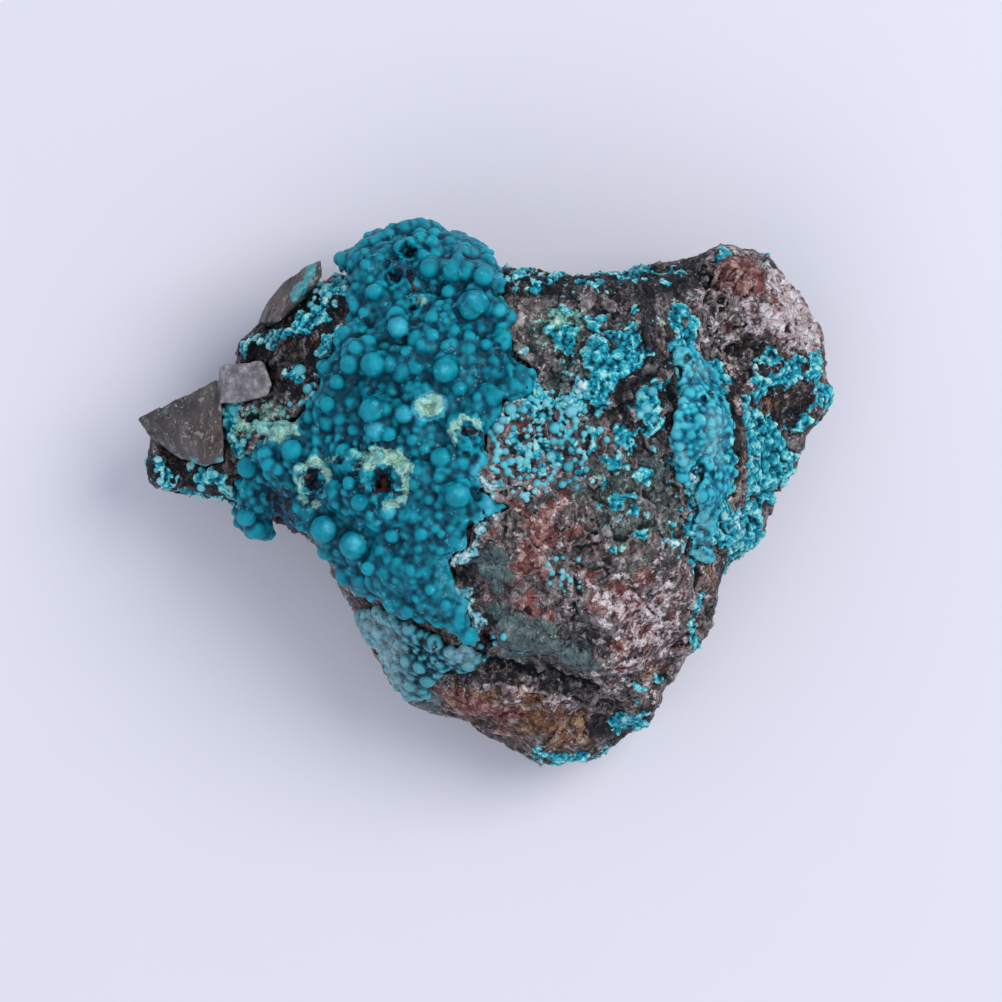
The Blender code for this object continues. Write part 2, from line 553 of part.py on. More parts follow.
def make_rock(collection, cutters, crystals):
    rock = loft_rock(collection)
    remesh(rock, ROCK_VOXEL)
    break_surface(rock)
    remesh(rock, ROCK_VOXEL)
    fine = copy_of(rock, "fine_rock", cutters)
    decimate(rock, ROCK_TRIANGLES)
    for crystal in crystals:
        boolean(rock, grown(crystal, crystal.name + "_room", CRYSTAL_GAP, cutters), "DIFFERENCE")
    boolean(rock, floor_cutter(cutters), "DIFFERENCE")
    keep_largest(rock)
    give_material(rock, "brown_rock", BROWN, 0.8)
    return rock, fine


# --- the crystals -------------------------------------------------------------------------


def hull(name, corners, collection):
    made = object_from(name, corners, [], collection)
    body = bmesh.new()
    body.from_mesh(made.data)
    found = bmesh.ops.convex_hull(body, input=body.verts)
    unused = [item for item in found["geom_interior"] if isinstance(item, bmesh.types.BMVert)]
    bmesh.ops.delete(body, geom=unused, context="VERTS")
    bmesh.ops.recalc_face_normals(body, faces=body.faces)
    body.to_mesh(made.data)
    body.free()
    return made


def make_crystals(collection, cutters):
    arm = hull("quartz_arm", WEDGE, collection)
    boolean(arm, hull("pale_block", BLOCK, cutters), "UNION")
    keep_largest(arm)
    give_material(arm, "smoky_quartz", SMOKY, 0.25)
    shard = hull("quartz_shard", SHARD, collection)
    give_material(shard, "grey_quartz", GREY, 0.35)
    return arm, shard


# --- the crusts ---------------------------------------------------------------------------


def patch_of(rock, name, outline, lowest, inward, outward, collection):
    """A slab that follows the part of the rock that lies inside a plan outline."""
    made = copy_of(rock, name, collection)
    body = bmesh.new()
    body.from_mesh(made.data)
    centres = [face.calc_center_median() / MM for face in body.faces]
    xs = np.array([centre.x for centre in centres])
    ys = np.array([centre.y for centre in centres])
    inside = inside_distance(xs, ys, outline)
    spare = [
        face
        for face, centre, depth in zip(body.faces, centres, inside)
        if depth < 0 or centre.z < lowest
    ]
    bmesh.ops.delete(body, geom=spare, context="FACES")
    body.to_mesh(made.data)
    body.free()
    for vertex in made.data.vertices:
        vertex.co -= vertex.normal * (inward * MM)
    made.data.update()
    modifier = made.modifiers.new("Slab", "SOLIDIFY")
    modifier.thickness = (inward + outward) * MM
    modifier.offset = 1.0
    modifier.use_even_offset = False
    bake(made)
    return made


def surface_tree(obj):
    return BVHTree.FromObject(obj, bpy.context.evaluated_depsgraph_get())


def seat(tree, x, y):
    """Point and normal of the topmost surface at a plan position, or None."""
    hit, normal, _, _ = tree.ray_cast(Vector((x * MM, y * MM, 0.1)), Vector((0, 0, -1)))
    return None if hit is None else (hit / MM, normal)


def scattered(outline, radii, spacing, taken, random, attempts):
    """Seeded round lumps inside an outline, clear of those already placed."""
    corners = np.array(outline)
    low, high = corners.min(axis=0), corners.max(axis=0)
    placed = []
    for _ in range(attempts):
        x, y = (float(v) for v in random.uniform(low, high))
        radius = float(random.uniform(*radii))
        if inside_distance(np.array([x]), np.array([y]), outline)[0] < 0.4 * radius:
            continue
        others = list(taken) + placed
        clear = all(math.hypot(x - o[0], y - o[1]) > spacing * (radius + o[2]) for o in others)
        if clear:
            placed.append((round(x, 3), round(y, 3), round(radius, 3)))
    return placed


def ball_mesh(body, centre, radius):
    found = bmesh.ops.create_icosphere(body, subdivisions=3, radius=radius * MM)
    for vertex in found["verts"]:
        vertex.co += centre * MM


def ring_mesh(body, centre, radius, thickness):
    """A ring of overlapping balls."""
    for step in range(RING_BALLS):
        angle = 2.0 * math.pi * step / RING_BALLS
        offset = Vector((math.cos(angle), math.sin(angle), 0.0)) * radius
        ball_mesh(body, centre + offset, thickness)


def add_lumps(obj, lumps, rings, sink):
    """Joins balls, and rings of balls, onto a slab. Each sits on the slab's top surface."""
    tree = surface_tree(obj)
    body = bmesh.new()
    body.from_mesh(obj.data)
    for x, y, radius in lumps:
        found = seat(tree, x, y)
        if found:
            point, normal = found
            ball_mesh(body, point - normal * (sink * radius), radius)
    for x, y, radius, hole in rings:
        found = seat(tree, x, y)
        if found:
            ring_mesh(body, found[0], (radius + hole) / 2.0 + 0.2, (radius - hole) / 2.0 + 0.35)
    body.to_mesh(obj.data)
    body.free()


def sink_holes(obj, holes, depth):
    """Presses hollows down into the top of a crust, one for each X, Y, radius."""
    mesh = obj.data
    for vertex in mesh.vertices:
        if vertex.normal.z < -0.2:
            continue
        for x, y, radius in holes:
            share = math.hypot(vertex.co.x / MM - x, vertex.co.y / MM - y) / (1.25 * radius)
            if share < 1.0:
                vertex.co.z -= depth * (1.0 - share**3) * MM
    mesh.update()


def finish_crust(crust, voxel, triangles, neighbours, cutters):
    """Fuses a crust, thins its mesh and clears it of what it grows on."""
    remesh(crust, voxel)
    smooth(crust, 0.5, 1)
    for neighbour in neighbours:
        room = grown(neighbour, crust.name + "_" + neighbour.name, CRUST_GAP, cutters)
        boolean(crust, room, "DIFFERENCE")
    keep_largest(crust)
    remesh(crust, voxel)
    keep_largest(crust)
    decimate(crust, triangles)


def make_main_crust(fine, neighbours, collection, cutters):
    crust = patch_of(
        fine, "chrysocolla_crust", CRUST_EDGE, CRUST_LOWEST, CRUST_INWARD, CRUST_THICKNESS,
        collection,
    )
    remesh(crust, CRUST_VOXEL * 1.5)
    random = np.random.default_rng(11)
    taken = LUMPS + tuple((x, y, radius) for x, y, radius, _ in EYES) + CRUST_HOLES
    seeded = scattered(CRUST_EDGE, SEEDED_RADII, 1.05, taken, random, 2600)
    main_lumps = [(x, y, radius * LUMP_SCALE) for x, y, radius in LUMPS]
    add_lumps(crust, main_lumps, EYES, MAIN_SINK)
    add_lumps(crust, seeded, (), SEEDED_SINK)
    remesh(crust, CRUST_VOXEL)
    holes = [(x, y, hole) for x, y, _, hole in EYES] + list(CRUST_HOLES)
    sink_holes(crust, holes, HOLE_DEPTH)
    finish_crust(crust, CRUST_VOXEL, CRUST_TRIANGLES, neighbours, cutters)
    give_material(crust, "teal_chrysocolla", TEAL, 0.5)
    return crust


def make_small_crust(name, outline, lowest, outward, triangles, seed, fine, neighbours,
                     collection, cutters):
    crust = patch_of(fine, name, outline, lowest, SMALL_INWARD, outward, collection)
    remesh(crust, CRUST_VOXEL * 1.4)
    random = np.random.default_rng(seed)
    lumps = scattered(outline, SMALL_RADII, 1.0, (), random, 500)
    add_lumps(crust, lumps, (), SMALL_SINK)
    finish_crust(crust, CRUST_VOXEL * 1.2, triangles, neighbours, cutters)
    return crust


# --- assembly -----------------------------------------------------------------------------


def centre_on_origin(pieces):
    """Moves all pieces together so that the middle of their plan is over the origin."""
    corners = np.array([vertex.co for piece in pieces for vertex in piece.data.vertices])
    middle = (corners.min(axis=0) + corners.max(axis=0)) / 2.0
    shift = Vector((-float(middle[0]), -float(middle[1]), 0.0))
    for piece in pieces:
        for vertex in piece.data.vertices:
            vertex.co += shift
        piece.data.update()


def main():
    clear_scene()
    specimen = collection_named("chrysocolla_specimen", False)
    cutters = collection_named("cutters", True)
    arm, shard = make_crystals(specimen, cutters)
    rock, fine = make_rock(specimen, cutters, (arm, shard))
    crust = make_main_crust(fine, (rock, arm, shard), specimen, cutters)
    vein = make_small_crust(
        "chrysocolla_vein", VEIN_EDGE, VEIN_LOWEST, VEIN_THICKNESS, VEIN_TRIANGLES, 21, fine,
        (rock,), specimen, cutters,
    )
    give_material(vein, "pale_teal_chrysocolla", VEIN_TEAL, 0.5)
    ledge = make_small_crust(
        "ledge_crust", LEDGE_EDGE, LEDGE_LOWEST, LEDGE_THICKNESS, LEDGE_TRIANGLES, 31, fine,
        (rock, crust), specimen, cutters,
    )
    give_material(ledge, "grey_blue_chrysocolla", PALE_BLUE, 0.6)
    for obj in list(cutters.objects):
        obj.hide_render = True
        obj.display_type = "WIRE"
    centre_on_origin((arm, shard, rock, crust, vein, ledge))


main()
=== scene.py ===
"""Chrysocolla specimen: the fine surface, colours, light and camera that go over its solids.

Run in Blender it registers an add-on panel, with one operator for each group of pieces, then
calls them in order. Plan tables are in millimetres, looking down on the specimen.
"""

import math

import bmesh
import bpy
import numpy as np
from bpy.props import FloatProperty, FloatVectorProperty, PointerProperty
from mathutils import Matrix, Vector, noise
from mathutils.bvhtree import BVHTree


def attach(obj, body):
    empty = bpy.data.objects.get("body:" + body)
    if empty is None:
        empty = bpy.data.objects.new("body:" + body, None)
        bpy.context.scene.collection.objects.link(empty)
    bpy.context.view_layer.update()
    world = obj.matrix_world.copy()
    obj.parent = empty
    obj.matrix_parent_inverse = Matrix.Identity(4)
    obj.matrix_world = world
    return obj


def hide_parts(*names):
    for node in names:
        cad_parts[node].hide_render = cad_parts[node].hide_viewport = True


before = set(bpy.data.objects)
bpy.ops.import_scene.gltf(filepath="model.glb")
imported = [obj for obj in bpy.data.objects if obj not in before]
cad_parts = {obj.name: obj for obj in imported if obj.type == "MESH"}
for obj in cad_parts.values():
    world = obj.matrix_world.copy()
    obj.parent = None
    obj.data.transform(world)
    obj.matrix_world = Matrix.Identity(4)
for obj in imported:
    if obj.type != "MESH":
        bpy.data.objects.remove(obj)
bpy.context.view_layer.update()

bl_info = {
    "name": "Chrysocolla specimen",
    "version": (1, 0, 0),
    "blender": (4, 5, 0),
    "location": "View3D > Sidebar > Specimen",
    "description": "Builds the fine surface, colours, light and camera of a chrysocolla specimen",
    "category": "Object",
}

MM = 0.001
PLAN_SHIFT = (-0.087, -0.24)  # where the plan tables' origin stands in the frame
SHIFT = Vector((*PLAN_SHIFT, 0.0))

# Sizes and depths are in millimetres from here on.
ROCK_VOXEL = 0.46
GROWTH_VOXEL = 0.22  # of a crust before its lumps are grown
CRUST_VOXEL = 0.15
BEAD_VOXEL = 0.1
CRYSTAL_VOXEL = 0.16
MOST_TRIANGLES = 197000  # in any one piece
SMOOTH_FACTOR = 0.5
FAR = 1e9
SPACING = 0.8  # of beads, and of lumps round the rings, as a share of touching
HIDDEN_REACH = 1.3  # how near the rock a crust's surface counts as its hidden side
SKY_HEIGHT = 60.0  # over everything, where rays that look for the top start
UP = Vector((0.0, 0.0, 1.0))

TOP_SLOPE = (-0.25, 0.25)  # the top: how far its faces look up
TOP_HEIGHTS = (5.0, 9.0)
FINE_SLOPE = -0.05  # faces that look up more than this, and lie higher than this, are split
FINE_HEIGHT = 7.0
FOOT = (0.1, 0.9)  # heights between which the relief fades in, so that the foot stays flat
ROCK_DETAIL = ((2.6, 0.36), (1.25, 0.16), (0.6, 0.08))  # size and depth of the chips
GRAIN_SIZE = 0.5
GRAIN_DEPTH = 0.07
SHEET_DEPTH = 0.4
SHEET_BEND = 1.4
SHEET_LEAN = 0.35
BEND_SIZE = 4.0
LEVEL_SLOPE = (0.45, 0.8)  # level sheets show where the sides are at least this steep
LEVEL_PITCH = 1.7
LEVEL_DEPTH = 0.8
LEVEL_BEND = 2.2
LEVEL_LEAN = 0.25
CELL_MIX = 9.7
CHIP_TILT = 1.4
DOME_REACH = 0.62  # radius of a dome, as a share of its cell
ROCK_SMOOTHING = 5
CRUST_SMOOTHING = 8
LUMP_SMOOTHING = 6
SMALL_CRUST_SMOOTHING = (5, 4)  # before and after its lumps are grown
# Size and reach of the noise that makes plan zones ragged.
ZONE_WARP = (2.2, 1.7)
RELIEF_WARP = (1.2, 0.9)
TINT_WARP = (0.9, 0.4)
RIM_WARP = (1.3, 0.9)
HOLE_WARP = (0.9, 0.5)
SMALL_CRUST_WARP = (1.1, 0.6)
CRYSTAL_WARP = (1.6, 0.5)
GLASSY_CALM = 0.75  # how much flatter the glassy stone is
BROWN_CALM = 0.35
QUIET_SIZE = 5.0  # of the patches where the relief is low
QUIET_SHARE = 0.35  # of the full relief that is left there
TEAL_CLOUD = 0.6
TEAL_EDGE = (0.43, 0.55)
TEAL_FLOOR = 0.06
TEAL_RANGE = 0.88
TEAL_LUMPS = ((1.1, 0.36, 1.0), (0.55, 0.16, 4.0))  # size, height, seed
TEAL_SINK = 0.02
FRINGE_SIZE = 0.5
FRINGE_HEIGHT = 0.5
CRUST_REACH = 1.5  # how far from the main crust's edge the rock rises to meet it
UNDER_CRUST = -0.35
BESIDE_CRUST = 0.5
CAVITY_STEPS = (3, 24)
CAVITY_WEIGHTS = (0.1, 0.16)
RELIEF_STEPS = (5, 50)
RELIEF_WEIGHTS = (0.13, 0.18)
STREAK_STRETCH = (1.5, 0.4, 0.9)  # turns of noise for each millimetre, along X, Y and Z

# Shapes that the plan tables use.
SPOT = "spot"  # X, Y, half width, half height
LINE = "line"  # half width, points
AREA = "area"  # corners

# What the rock is made of, seen from above: strength, softness of the edge, shape, shape data.
ZONES = {
    "red": (
        (0.9, 1.2, AREA, ((1.6, -0.9), (5.9, -0.4), (9.8, -1.6), (9.3, -6.2), (6.2, -6.4),
            (5.9, -10.1), (5.4, -12.5), (3.5, -11.9), (1.4, -10.1), (1.4, -6.2))),
        (0.62, 1.5, AREA, ((9.3, -6.2), (16.1, -6.2), (21, -6.7), (21.5, -10.1), (20, -15.5),
            (16.1, -19.9), (11.3, -18.9), (9.8, -14), (8.8, -10.1))),
        (0.55, 1.2, AREA, ((1.1, 9.3), (5.9, 9.8), (7.4, 6.4), (5.9, 2.5), (1.6, 2.5),
            (0.6, 6.4))),
        (1.3, 0.35, AREA, ((22.2, 22.6), (24.5, 23.9), (27.0, 22.8), (27.9, 20.4),
            (25.4, 19.3), (23, 20.2))),
        (0.9, 0.4, LINE, (0.7, ((32.0, 20.2), (33.3, 17.5), (32.6, 15.0)))),
        (0.5, 1, AREA, ((21.8, 23.7), (29.1, 23.1), (32.6, 18.3), (31.1, 14.4), (25.2, 14.9),
            (22.4, 19.3))),
        (0.45, 1, AREA, ((16.6, 19), (17.9, 19), (17.9, 13.2), (16.6, 13.6))),
        (0.9, 0.6, AREA, ((-4.6, -19.4), (0.5, -19.2), (4.5, -20.5), (2.5, -23.4), (-1, -22.8))),
        (0.5, 0.8, SPOT, (8.5, -23.6, 1.8, 1.2)),
    ),
    "pale": (
        (1.15, 0.5, AREA, ((27.8, 23.6), (30.5, 21.7), (33.2, 17.3), (33.2, 14.0), (30, 14.6),
            (28.0, 17.3), (28.8, 20.2))),
        (0.8, 0.5, AREA, ((24.2, 19.2), (27.6, 18.6), (28.2, 15.6), (25.4, 15.6))),
        (0.7, 0.7, LINE, (0.9, ((21.1, 20.1), (22.2, 17.2), (23.4, 14.2), (25.5, 9.4)))),
        (0.6, 0.6, LINE, (0.5, ((1.3, -18.9), (5.5, -19.5), (11.4, -21)))),
        (0.55, 1.5, AREA, ((9.8, -7.7), (21, -7.2), (20, -15), (15.2, -19.9), (11.3, -17.9))),
        (0.9, 0.25, LINE, (0.25, ((22.6, 24.2), (24.9, 24.6), (27.5, 23.4), (29.6, 22.2)))),
        (0.8, 0.25, LINE, (0.3, ((24, 18.9), (26.5, 19.2), (28.6, 18.8)))),
        (0.5, 0.8, SPOT, (7.4, -0.1, 1.4, 1)),
        (0.45, 1, AREA, ((1.6, 2.5), (7.4, 2.5), (6.4, -0.9), (2, -0.4))),
        (0.4, 1, AREA, ((20.1, 19.1), (22.2, 19.1), (24.5, 9.3), (23.5, 7.4), (21.5, 13.2))),
    ),
    "olive": (
        (0.75, 1.5, AREA, ((2, 19), (15.1, 19), (15.6, 9.3), (11.3, 7.4), (4.5, 9.3),
            (2.5, 15.1))),
        (0.8, 1.5, AREA, ((8.5, 5.4), (21, 5.4), (21, -6.2), (11.3, -6.7), (9.3, -2.3))),
        (0.7, 1, AREA, ((7.4, -12.1), (11.3, -12.1), (11.3, -16.5), (7.6, -16))),
        (0.6, 1, AREA, ((20.4, -6.4), (24.4, -6.4), (22.9, -12.3), (20.9, -15.3))),
    ),
    "glassy": (
        (0.95, 0.5, AREA, ((0.5, -14), (1.6, -12.3), (4.5, -11.8), (7, -12.3), (8, -13.7),
            (10.3, -14.2), (11.3, -16.8), (8.9, -17.2), (6.4, -15.6), (3.5, -16), (1.3, -15.4))),
        (0.85, 0.5, AREA, ((-2, -5.1), (-0.4, -4.4), (2.3, -5.5), (2.7, -7.7), (1.6, -9.2),
            (0.1, -8.2), (-1.6, -7.7))),
        (0.85, 0.4, AREA, ((-0.4, -9.7), (1.6, -9.4), (2.7, -10.7), (2.1, -12.3), (0.4, -12.3),
            (-0.6, -11.3))),
        (0.8, 0.5, SPOT, (16.6, 2.3, 1.7, 1.8)),
        (0.8, 0.6, AREA, ((5.9, 1.7), (9.3, 2), (9.8, -0.2), (6.6, -0.4))),
        (0.8, 0.5, AREA, ((-7.9, -19.3), (-4.4, -19.1), (-4.4, -21.5), (-6.6, -21.5))),
        (0.6, 0.6, SPOT, (-13.8, 20.1, 0.7, 1)),
        (0.6, 0.6, SPOT, (15.2, 19, 1, 1.4)),
    ),
    "brown": (
        (0.8, 0.5, AREA, ((-4.4, -19), (1.6, -18.6), (10.5, -20.1), (10.7, -24.7), (7.5, -25.9),
            (3.5, -24.3), (-1.4, -22.4), (-4.4, -21.3))),
        (0.8, 0.5, LINE, (0.7, ((24.6, 7), (25.1, 3.5), (24.9, -0.4)))),
        (0.7, 0.6, SPOT, (-20.8, 18.6, 0.8, 1.2)),
        (1.0, 0.5, AREA, ((-19.6, 15.2), (-16.6, 15.4), (-15.8, 12.4), (-17.4, 11.6),
            (-19.4, 13.2))),
        (0.6, 0.8, LINE, (0.8, ((23, -6.3), (22.2, -10.3), (21.3, -14.2)))),
        (0.45, 1, AREA, ((-15.8, -6.3), (-11.8, -9.3), (-8.4, -12.8), (-13.8, -12.8),
            (-15.8, -9.3))),
        (0.45, 1, AREA, ((27.8, 14.5), (33.3, 14.5), (33.3, 9.5), (28.3, 7.5))),
        (0.9, 0.5, LINE, (0.8, ((28.5, 8.5), (31.0, 9.6), (33.0, 10.2)))),
        (0.9, 0.4, LINE, (0.45, ((24.9, 7.0), (25.0, 3.5), (24.8, 0)))),
        (0.8, 0.4, SPOT, (16.4, -17.3, 0.9, 0.9)),
    ),
    "green": (
        (0.75, 0.6, SPOT, (7.4, 16.9, 2, 2.1)),
        (0.62, 0.6, AREA, ((-25.6, 8.7), (-21.9, 9.8), (-18.8, 9.8), (-18.5, 7.1), (-21.3, 5.7),
            (-24.1, 5.5), (-25.4, 5.9))),
        (0.5, 0.6, AREA, ((-24.8, 5.5), (-22, 5.5), (-22, 1.6), (-24.2, 1.4))),
        (0.5, 0.8, AREA, ((17.3, 19.1), (20.7, 19.1), (20.5, 14.2), (17.9, 14.2))),
        (0.5, 0.6, SPOT, (-18.2, 20.9, 1.4, 0.9)),
        (0.4, 1, AREA, ((11.3, 4), (13.2, 4), (13.2, -0.4), (11.3, -0.4))),
    ),
    "black": (
        (1.25, 0.6, AREA, ((-24.2, 16.4), (-22, 18.2), (-19.7, 19.4), (-16.4, 21.2),
            (-13.3, 22.5), (-13.1, 19.4), (-14.4, 16.0), (-18.6, 16.0), (-21.0, 14.4),
            (-20.6, 12.0), (-17.6, 10.8), (-16.1, 10), (-19.7, 9.5), (-22, 13), (-24.4, 13))),
        (0.85, 0.6, AREA, ((-20.6, 15.6), (-16.4, 15.8), (-14.6, 12.4), (-17.4, 11.0),
            (-20.4, 12.6))),
        (1.2, 0.5, AREA, ((1.6, 22.6), (21.4, 23.2), (21.4, 20.2), (16.3, 19.6), (9.4, 20.2),
            (2, 19.2))),
        (1.2, 0.3, LINE, (0.65, ((15.9, 20), (15.8, 16.6), (16.2, 14.7), (17.5, 13.6),
            (16.5, 12.4), (14.5, 11.6), (13.5, 10), (13.7, 8.0), (14.7, 7.0)))),
        (0.95, 0.3, LINE, (0.5, ((18.4, 12.5), (18.6, 9.0), (18.1, 5.5), (18.8, 2.0)))),
        (1.1, 0.35, AREA, ((23.6, 12.5), (25.0, 12.3), (25.3, 3.0), (24.1, 2.5), (23.9, 7.0))),
        (0.8, 0.6, AREA, ((16.7, 11.1), (18.7, 10.8), (18.7, 6.4), (17.5, 6.6))),
        (0.62, 0.8, AREA, ((26.1, 14.5), (34.1, 14.5), (34.4, 9.5), (32.8, 6.5), (28.3, 5.5),
            (26.3, 9.5))),
        (0.85, 0.5, AREA, ((-0.6, -15.6), (3.5, -16.9), (7.4, -17.6), (11.4, -19.1),
            (11.2, -20.2), (5.5, -18.9), (0.6, -18.3))),
        (0.95, 0.4, LINE, (0.6, ((-0.2, -11.4), (-0.1, -15.1)))),
        (0.85, 0.5, AREA, ((-3.7, -6.5), (-0.8, -6.3), (-0.6, -10.2), (-2.2, -10))),
        (0.9, 0.5, AREA, ((9.7, -20.4), (13.7, -20.7), (13.3, -24.2), (10.7, -24.4))),
        (0.6, 0.8, LINE, (0.7, ((8.6, -13.2), (9.4, -14.6), (9.9, -15.9)))),
        (1.1, 0.6, AREA, ((-34.8, 4.4), (-28.4, 2.8), (-22.9, 1.6), (-22.2, -3.4),
            (-18.4, -4.4), (-19.2, 0.6), (-23.4, -0.4), (-30.4, -0.7), (-34.2, 1.4))),
        (0.95, 0.5, AREA, ((-22.1, 0.9), (-18.5, 1.1), (-18, -3.9), (-21.3, -3.8))),
        (0.85, 0.4, LINE, (0.4, ((21.4, 23), (22, 19.2), (22.8, 14.8), (25.9, 14.1)))),
        (0.8, 0.4, LINE, (0.4, ((24, -6.3), (23, -10.3), (21.7, -14.7)))),
        (0.8, 0.3, LINE, (0.3, ((21.1, 7.4), (21.1, 5.5)))),
        (0.7, 0.3, LINE, (0.3, ((25.9, 9.4), (26.2, 5.5), (25.9, -0.4)))),
        (1.1, 0.3, SPOT, (-23.4, 7.9, 0.9, 0.5)),
        (1.1, 0.3, SPOT, (-20.1, 7.3, 1.3, 0.6)),
        (1.0, 0.3, SPOT, (-23.9, 6.5, 0.5, 0.5)),
        (0.6, 0.5, AREA, ((-8.8, -12.3), (-1.4, -15.7), (-0.4, -19.2), (-4.4, -18.2),
            (-5.4, -15.2))),
        (0.55, 0.8, AREA, ((11.6, -22.4), (17.1, -20.4), (15.6, -24.2), (12.1, -25.9))),
    ),
    "teal": (
        (0.9, 0.4, AREA, ((9.6, 14), (10.5, 15.6), (11.3, 16.7), (11.9, 14.8), (12.7, 14),
            (13.4, 15.5), (14.4, 17), (15.1, 15.6), (15.6, 14.2), (15.2, 12.4), (13.8, 11.4),
            (12.4, 10.8), (13.2, 9.3), (11.1, 9), (9.3, 9.8), (8.6, 10.8), (10.3, 11.8),
            (9.5, 13))),
        (0.9, 0.4, AREA, ((14.9, 10.5), (16.6, 10.9), (17.3, 9.3), (16.9, 6.9), (15.6, 6.9),
            (14.8, 8.5))),
        (0.9, 0.4, AREA, ((10.6, 12.2), (13.0, 13.6), (12.8, 9.4), (10.2, 8.2), (8.0, 9.0))),
        (0.85, 0.4, AREA, ((12.4, 7.6), (14.9, 7.6), (14.7, 4.4), (12.7, 4.4))),
        (0.7, 0.4, AREA, ((17.4, 14.4), (20.6, 14.0), (21.6, 18.0), (19.4, 18.2))),
        (0.7, 0.4, SPOT, (13.2, -0.2, 1.5, 0.8)),
        (0.55, 0.8, AREA, ((17.6, 19.1), (20.9, 19.1), (20.7, 14.2), (18, 14))),
        (0.42, 0.6, AREA, ((2, 22), (21.2, 22.4), (21.2, 20.4), (11.4, 19.8), (5, 19.5),
            (2.3, 19.6))),
        (0.55, 0.8, AREA, ((25.8, 14.5), (33.9, 14.3), (34.4, 9.5), (32.8, 6.5), (28.3, 5.5),
            (26.3, 9.5))),
        (0.85, 0.4, LINE, (0.7, ((25.9, 9.3), (26.4, 7.0), (28.6, 4.4), (31.0, 3.8)))),
        (0.9, 0.3, LINE, (0.5, ((34.1, 11), (34.7, 9.8), (34.5, 7.8)))),
        (0.75, 0.8, AREA, ((25.3, 8.0), (30.5, 6.3), (31.3, 2.6), (28.5, -0.4), (25.8, -0.4))),
        (0.85, 0.6, AREA, ((23.6, -0.4), (27.8, -0.6), (27, -4.9), (24.6, -6.6), (22.8, -4.0))),
        (0.8, 0.3, LINE, (0.35, ((21, -9.3), (20.7, -12.2), (20.5, -15.2)))),
        (0.85, 0.3, SPOT, (15.1, -18.4, 0.6, 0.5)),
        (0.8, 0.3, SPOT, (17.3, -18.5, 0.5, 0.6)),
        (0.75, 0.4, LINE, (0.8, ((5.6, -26.5), (9.1, -26.5), (12.6, -25.7)))),
        (0.6, 0.5, AREA, ((12.1, -21.6), (17.1, -20.9), (16.1, -23.6), (12.8, -24.6))),
        (1.0, 0.4, LINE, (0.7, ((-23.3, 14.9), (-20.1, 15.7), (-18.2, 16.6)))),
        (1.0, 0.4, LINE, (0.7, ((-19.7, 16), (-17.8, 16.8), (-15.6, 18.8), (-14.6, 20.8)))),
        (0.7, 0.3, LINE, (0.3, ((3, 21.9), (8, 22.1), (13, 22.0), (19, 22.4)))),
        (0.75, 0.3, LINE, (0.3, ((4, 20.3), (8, 20.6), (11, 20.2)))),
        (0.75, 0.35, LINE, (0.5, ((26.5, 12.8), (28.5, 13.4), (31, 12.6), (33.2, 13.0)))),
        (0.6, 0.8, AREA, ((17.5, 15.5), (24.5, 13), (25.3, 5), (24.5, -3), (22, -8), (20, -7),
            (18.5, 2), (17.3, 8))),
        (0.6, 0.6, AREA, ((-16, 16), (-13.4, 16), (-13.6, 10), (-16.4, 9.8))),
        (0.6, 0.5, AREA, ((-18.2, 21.9), (-12.1, 23.1), (-12.1, 19.4), (-16.7, 19.8))),
        (0.85, 0.3, SPOT, (-18.5, 12.6, 0.9, 0.9)),
        (0.85, 0.3, SPOT, (-17.6, 10.6, 0.8, 0.8)),
        (0.85, 0.3, SPOT, (-17.1, 9.3, 0.7, 0.7)),
        (0.8, 0.4, LINE, (0.8, ((-25.2, 9.1), (-25.4, 7), (-24.6, 4.8)))),
        (0.47, 0.8, AREA, ((-34.9, 4.6), (-28.4, 3.2), (-22.9, 1.8), (-23.4, -3.4),
            (-25.2, -0.9), (-30.5, -0.7), (-34.2, 1.4))),
        (0.75, 0.3, SPOT, (23.9, 24.1, 1.3, 0.5)),
        (0.9, 0.3, SPOT, (-17.4, 21.9, 0.7, 0.9)),
        (0.44, 1, AREA, ((1.6, 10.6), (10.3, 10.2), (10.3, 1.5), (1.6, 1.5))),
        (0.8, 0.4, LINE, (0.5, ((3.6, 11.6), (4.8, 10.2), (3.6, 8.6), (1.8, 8.0)))),
        (0.4, 1.5, AREA, ((3.5, 19), (21, 19), (20, -6.2), (11.3, -6.2), (7.4, 9.3))),
        (0.8, 0.5, LINE, (0.6, ((20, 14.2), (21, 11.8), (23.7, 9.3), (24.2, 2.5), (22.5, -3.3)))),
        (0.55, 0.8, AREA, ((21.2, 2.5), (25.6, -0.4), (24.6, -5.8), (21.2, -6.3))),
    ),
    "fringe": (
        (0.7, 0.4, LINE, (0.5, ((2, 14.7), (3.5, 12.7), (4.5, 11.5), (3.5, 10.1), (2, 8.8),
            (0.6, 8.4)))),
        (0.85, 0.4, LINE, (0.6, ((0.2, 3.3), (-0.4, 2.3), (0.8, 0.4), (1.1, -1.2), (0.2, -2.5),
            (-0.6, -4.1), (-2.3, -5.8), (-3.7, -6.4), (-3.7, -8), (-2.3, -9.4), (-0.9, -10.9),
            (-1, -13.5)))),
        (0.7, 0.4, LINE, (0.9, ((18.7, 5.7), (19.1, 3), (20.5, 0.6), (21.6, -0.4)))),
        (0.6, 0.4, AREA, ((7.4, 11.8), (10.1, 12), (11.1, 10.1), (8.4, 9.3))),
        (0.9, 0.3, SPOT, (-28.6, 2.5, 0.5, 0.3)),
        (0.7, 0.3, SPOT, (18.4, -4.8, 0.7, 0.6)),
        (0.5, 0.4, SPOT, (21.2, 23.7, 0.8, 0.6)),
        (0.75, 0.3, LINE, (0.35, ((-22.6, 15.1), (-20.3, 15.6)))),
        (0.75, 0.3, LINE, (0.35, ((-19.6, 16.2), (-18, 16.8)))),
        (0.6, 0.4, LINE, (0.4, ((26.5, 12.5), (28.5, 13.2), (30.5, 12.4)))),
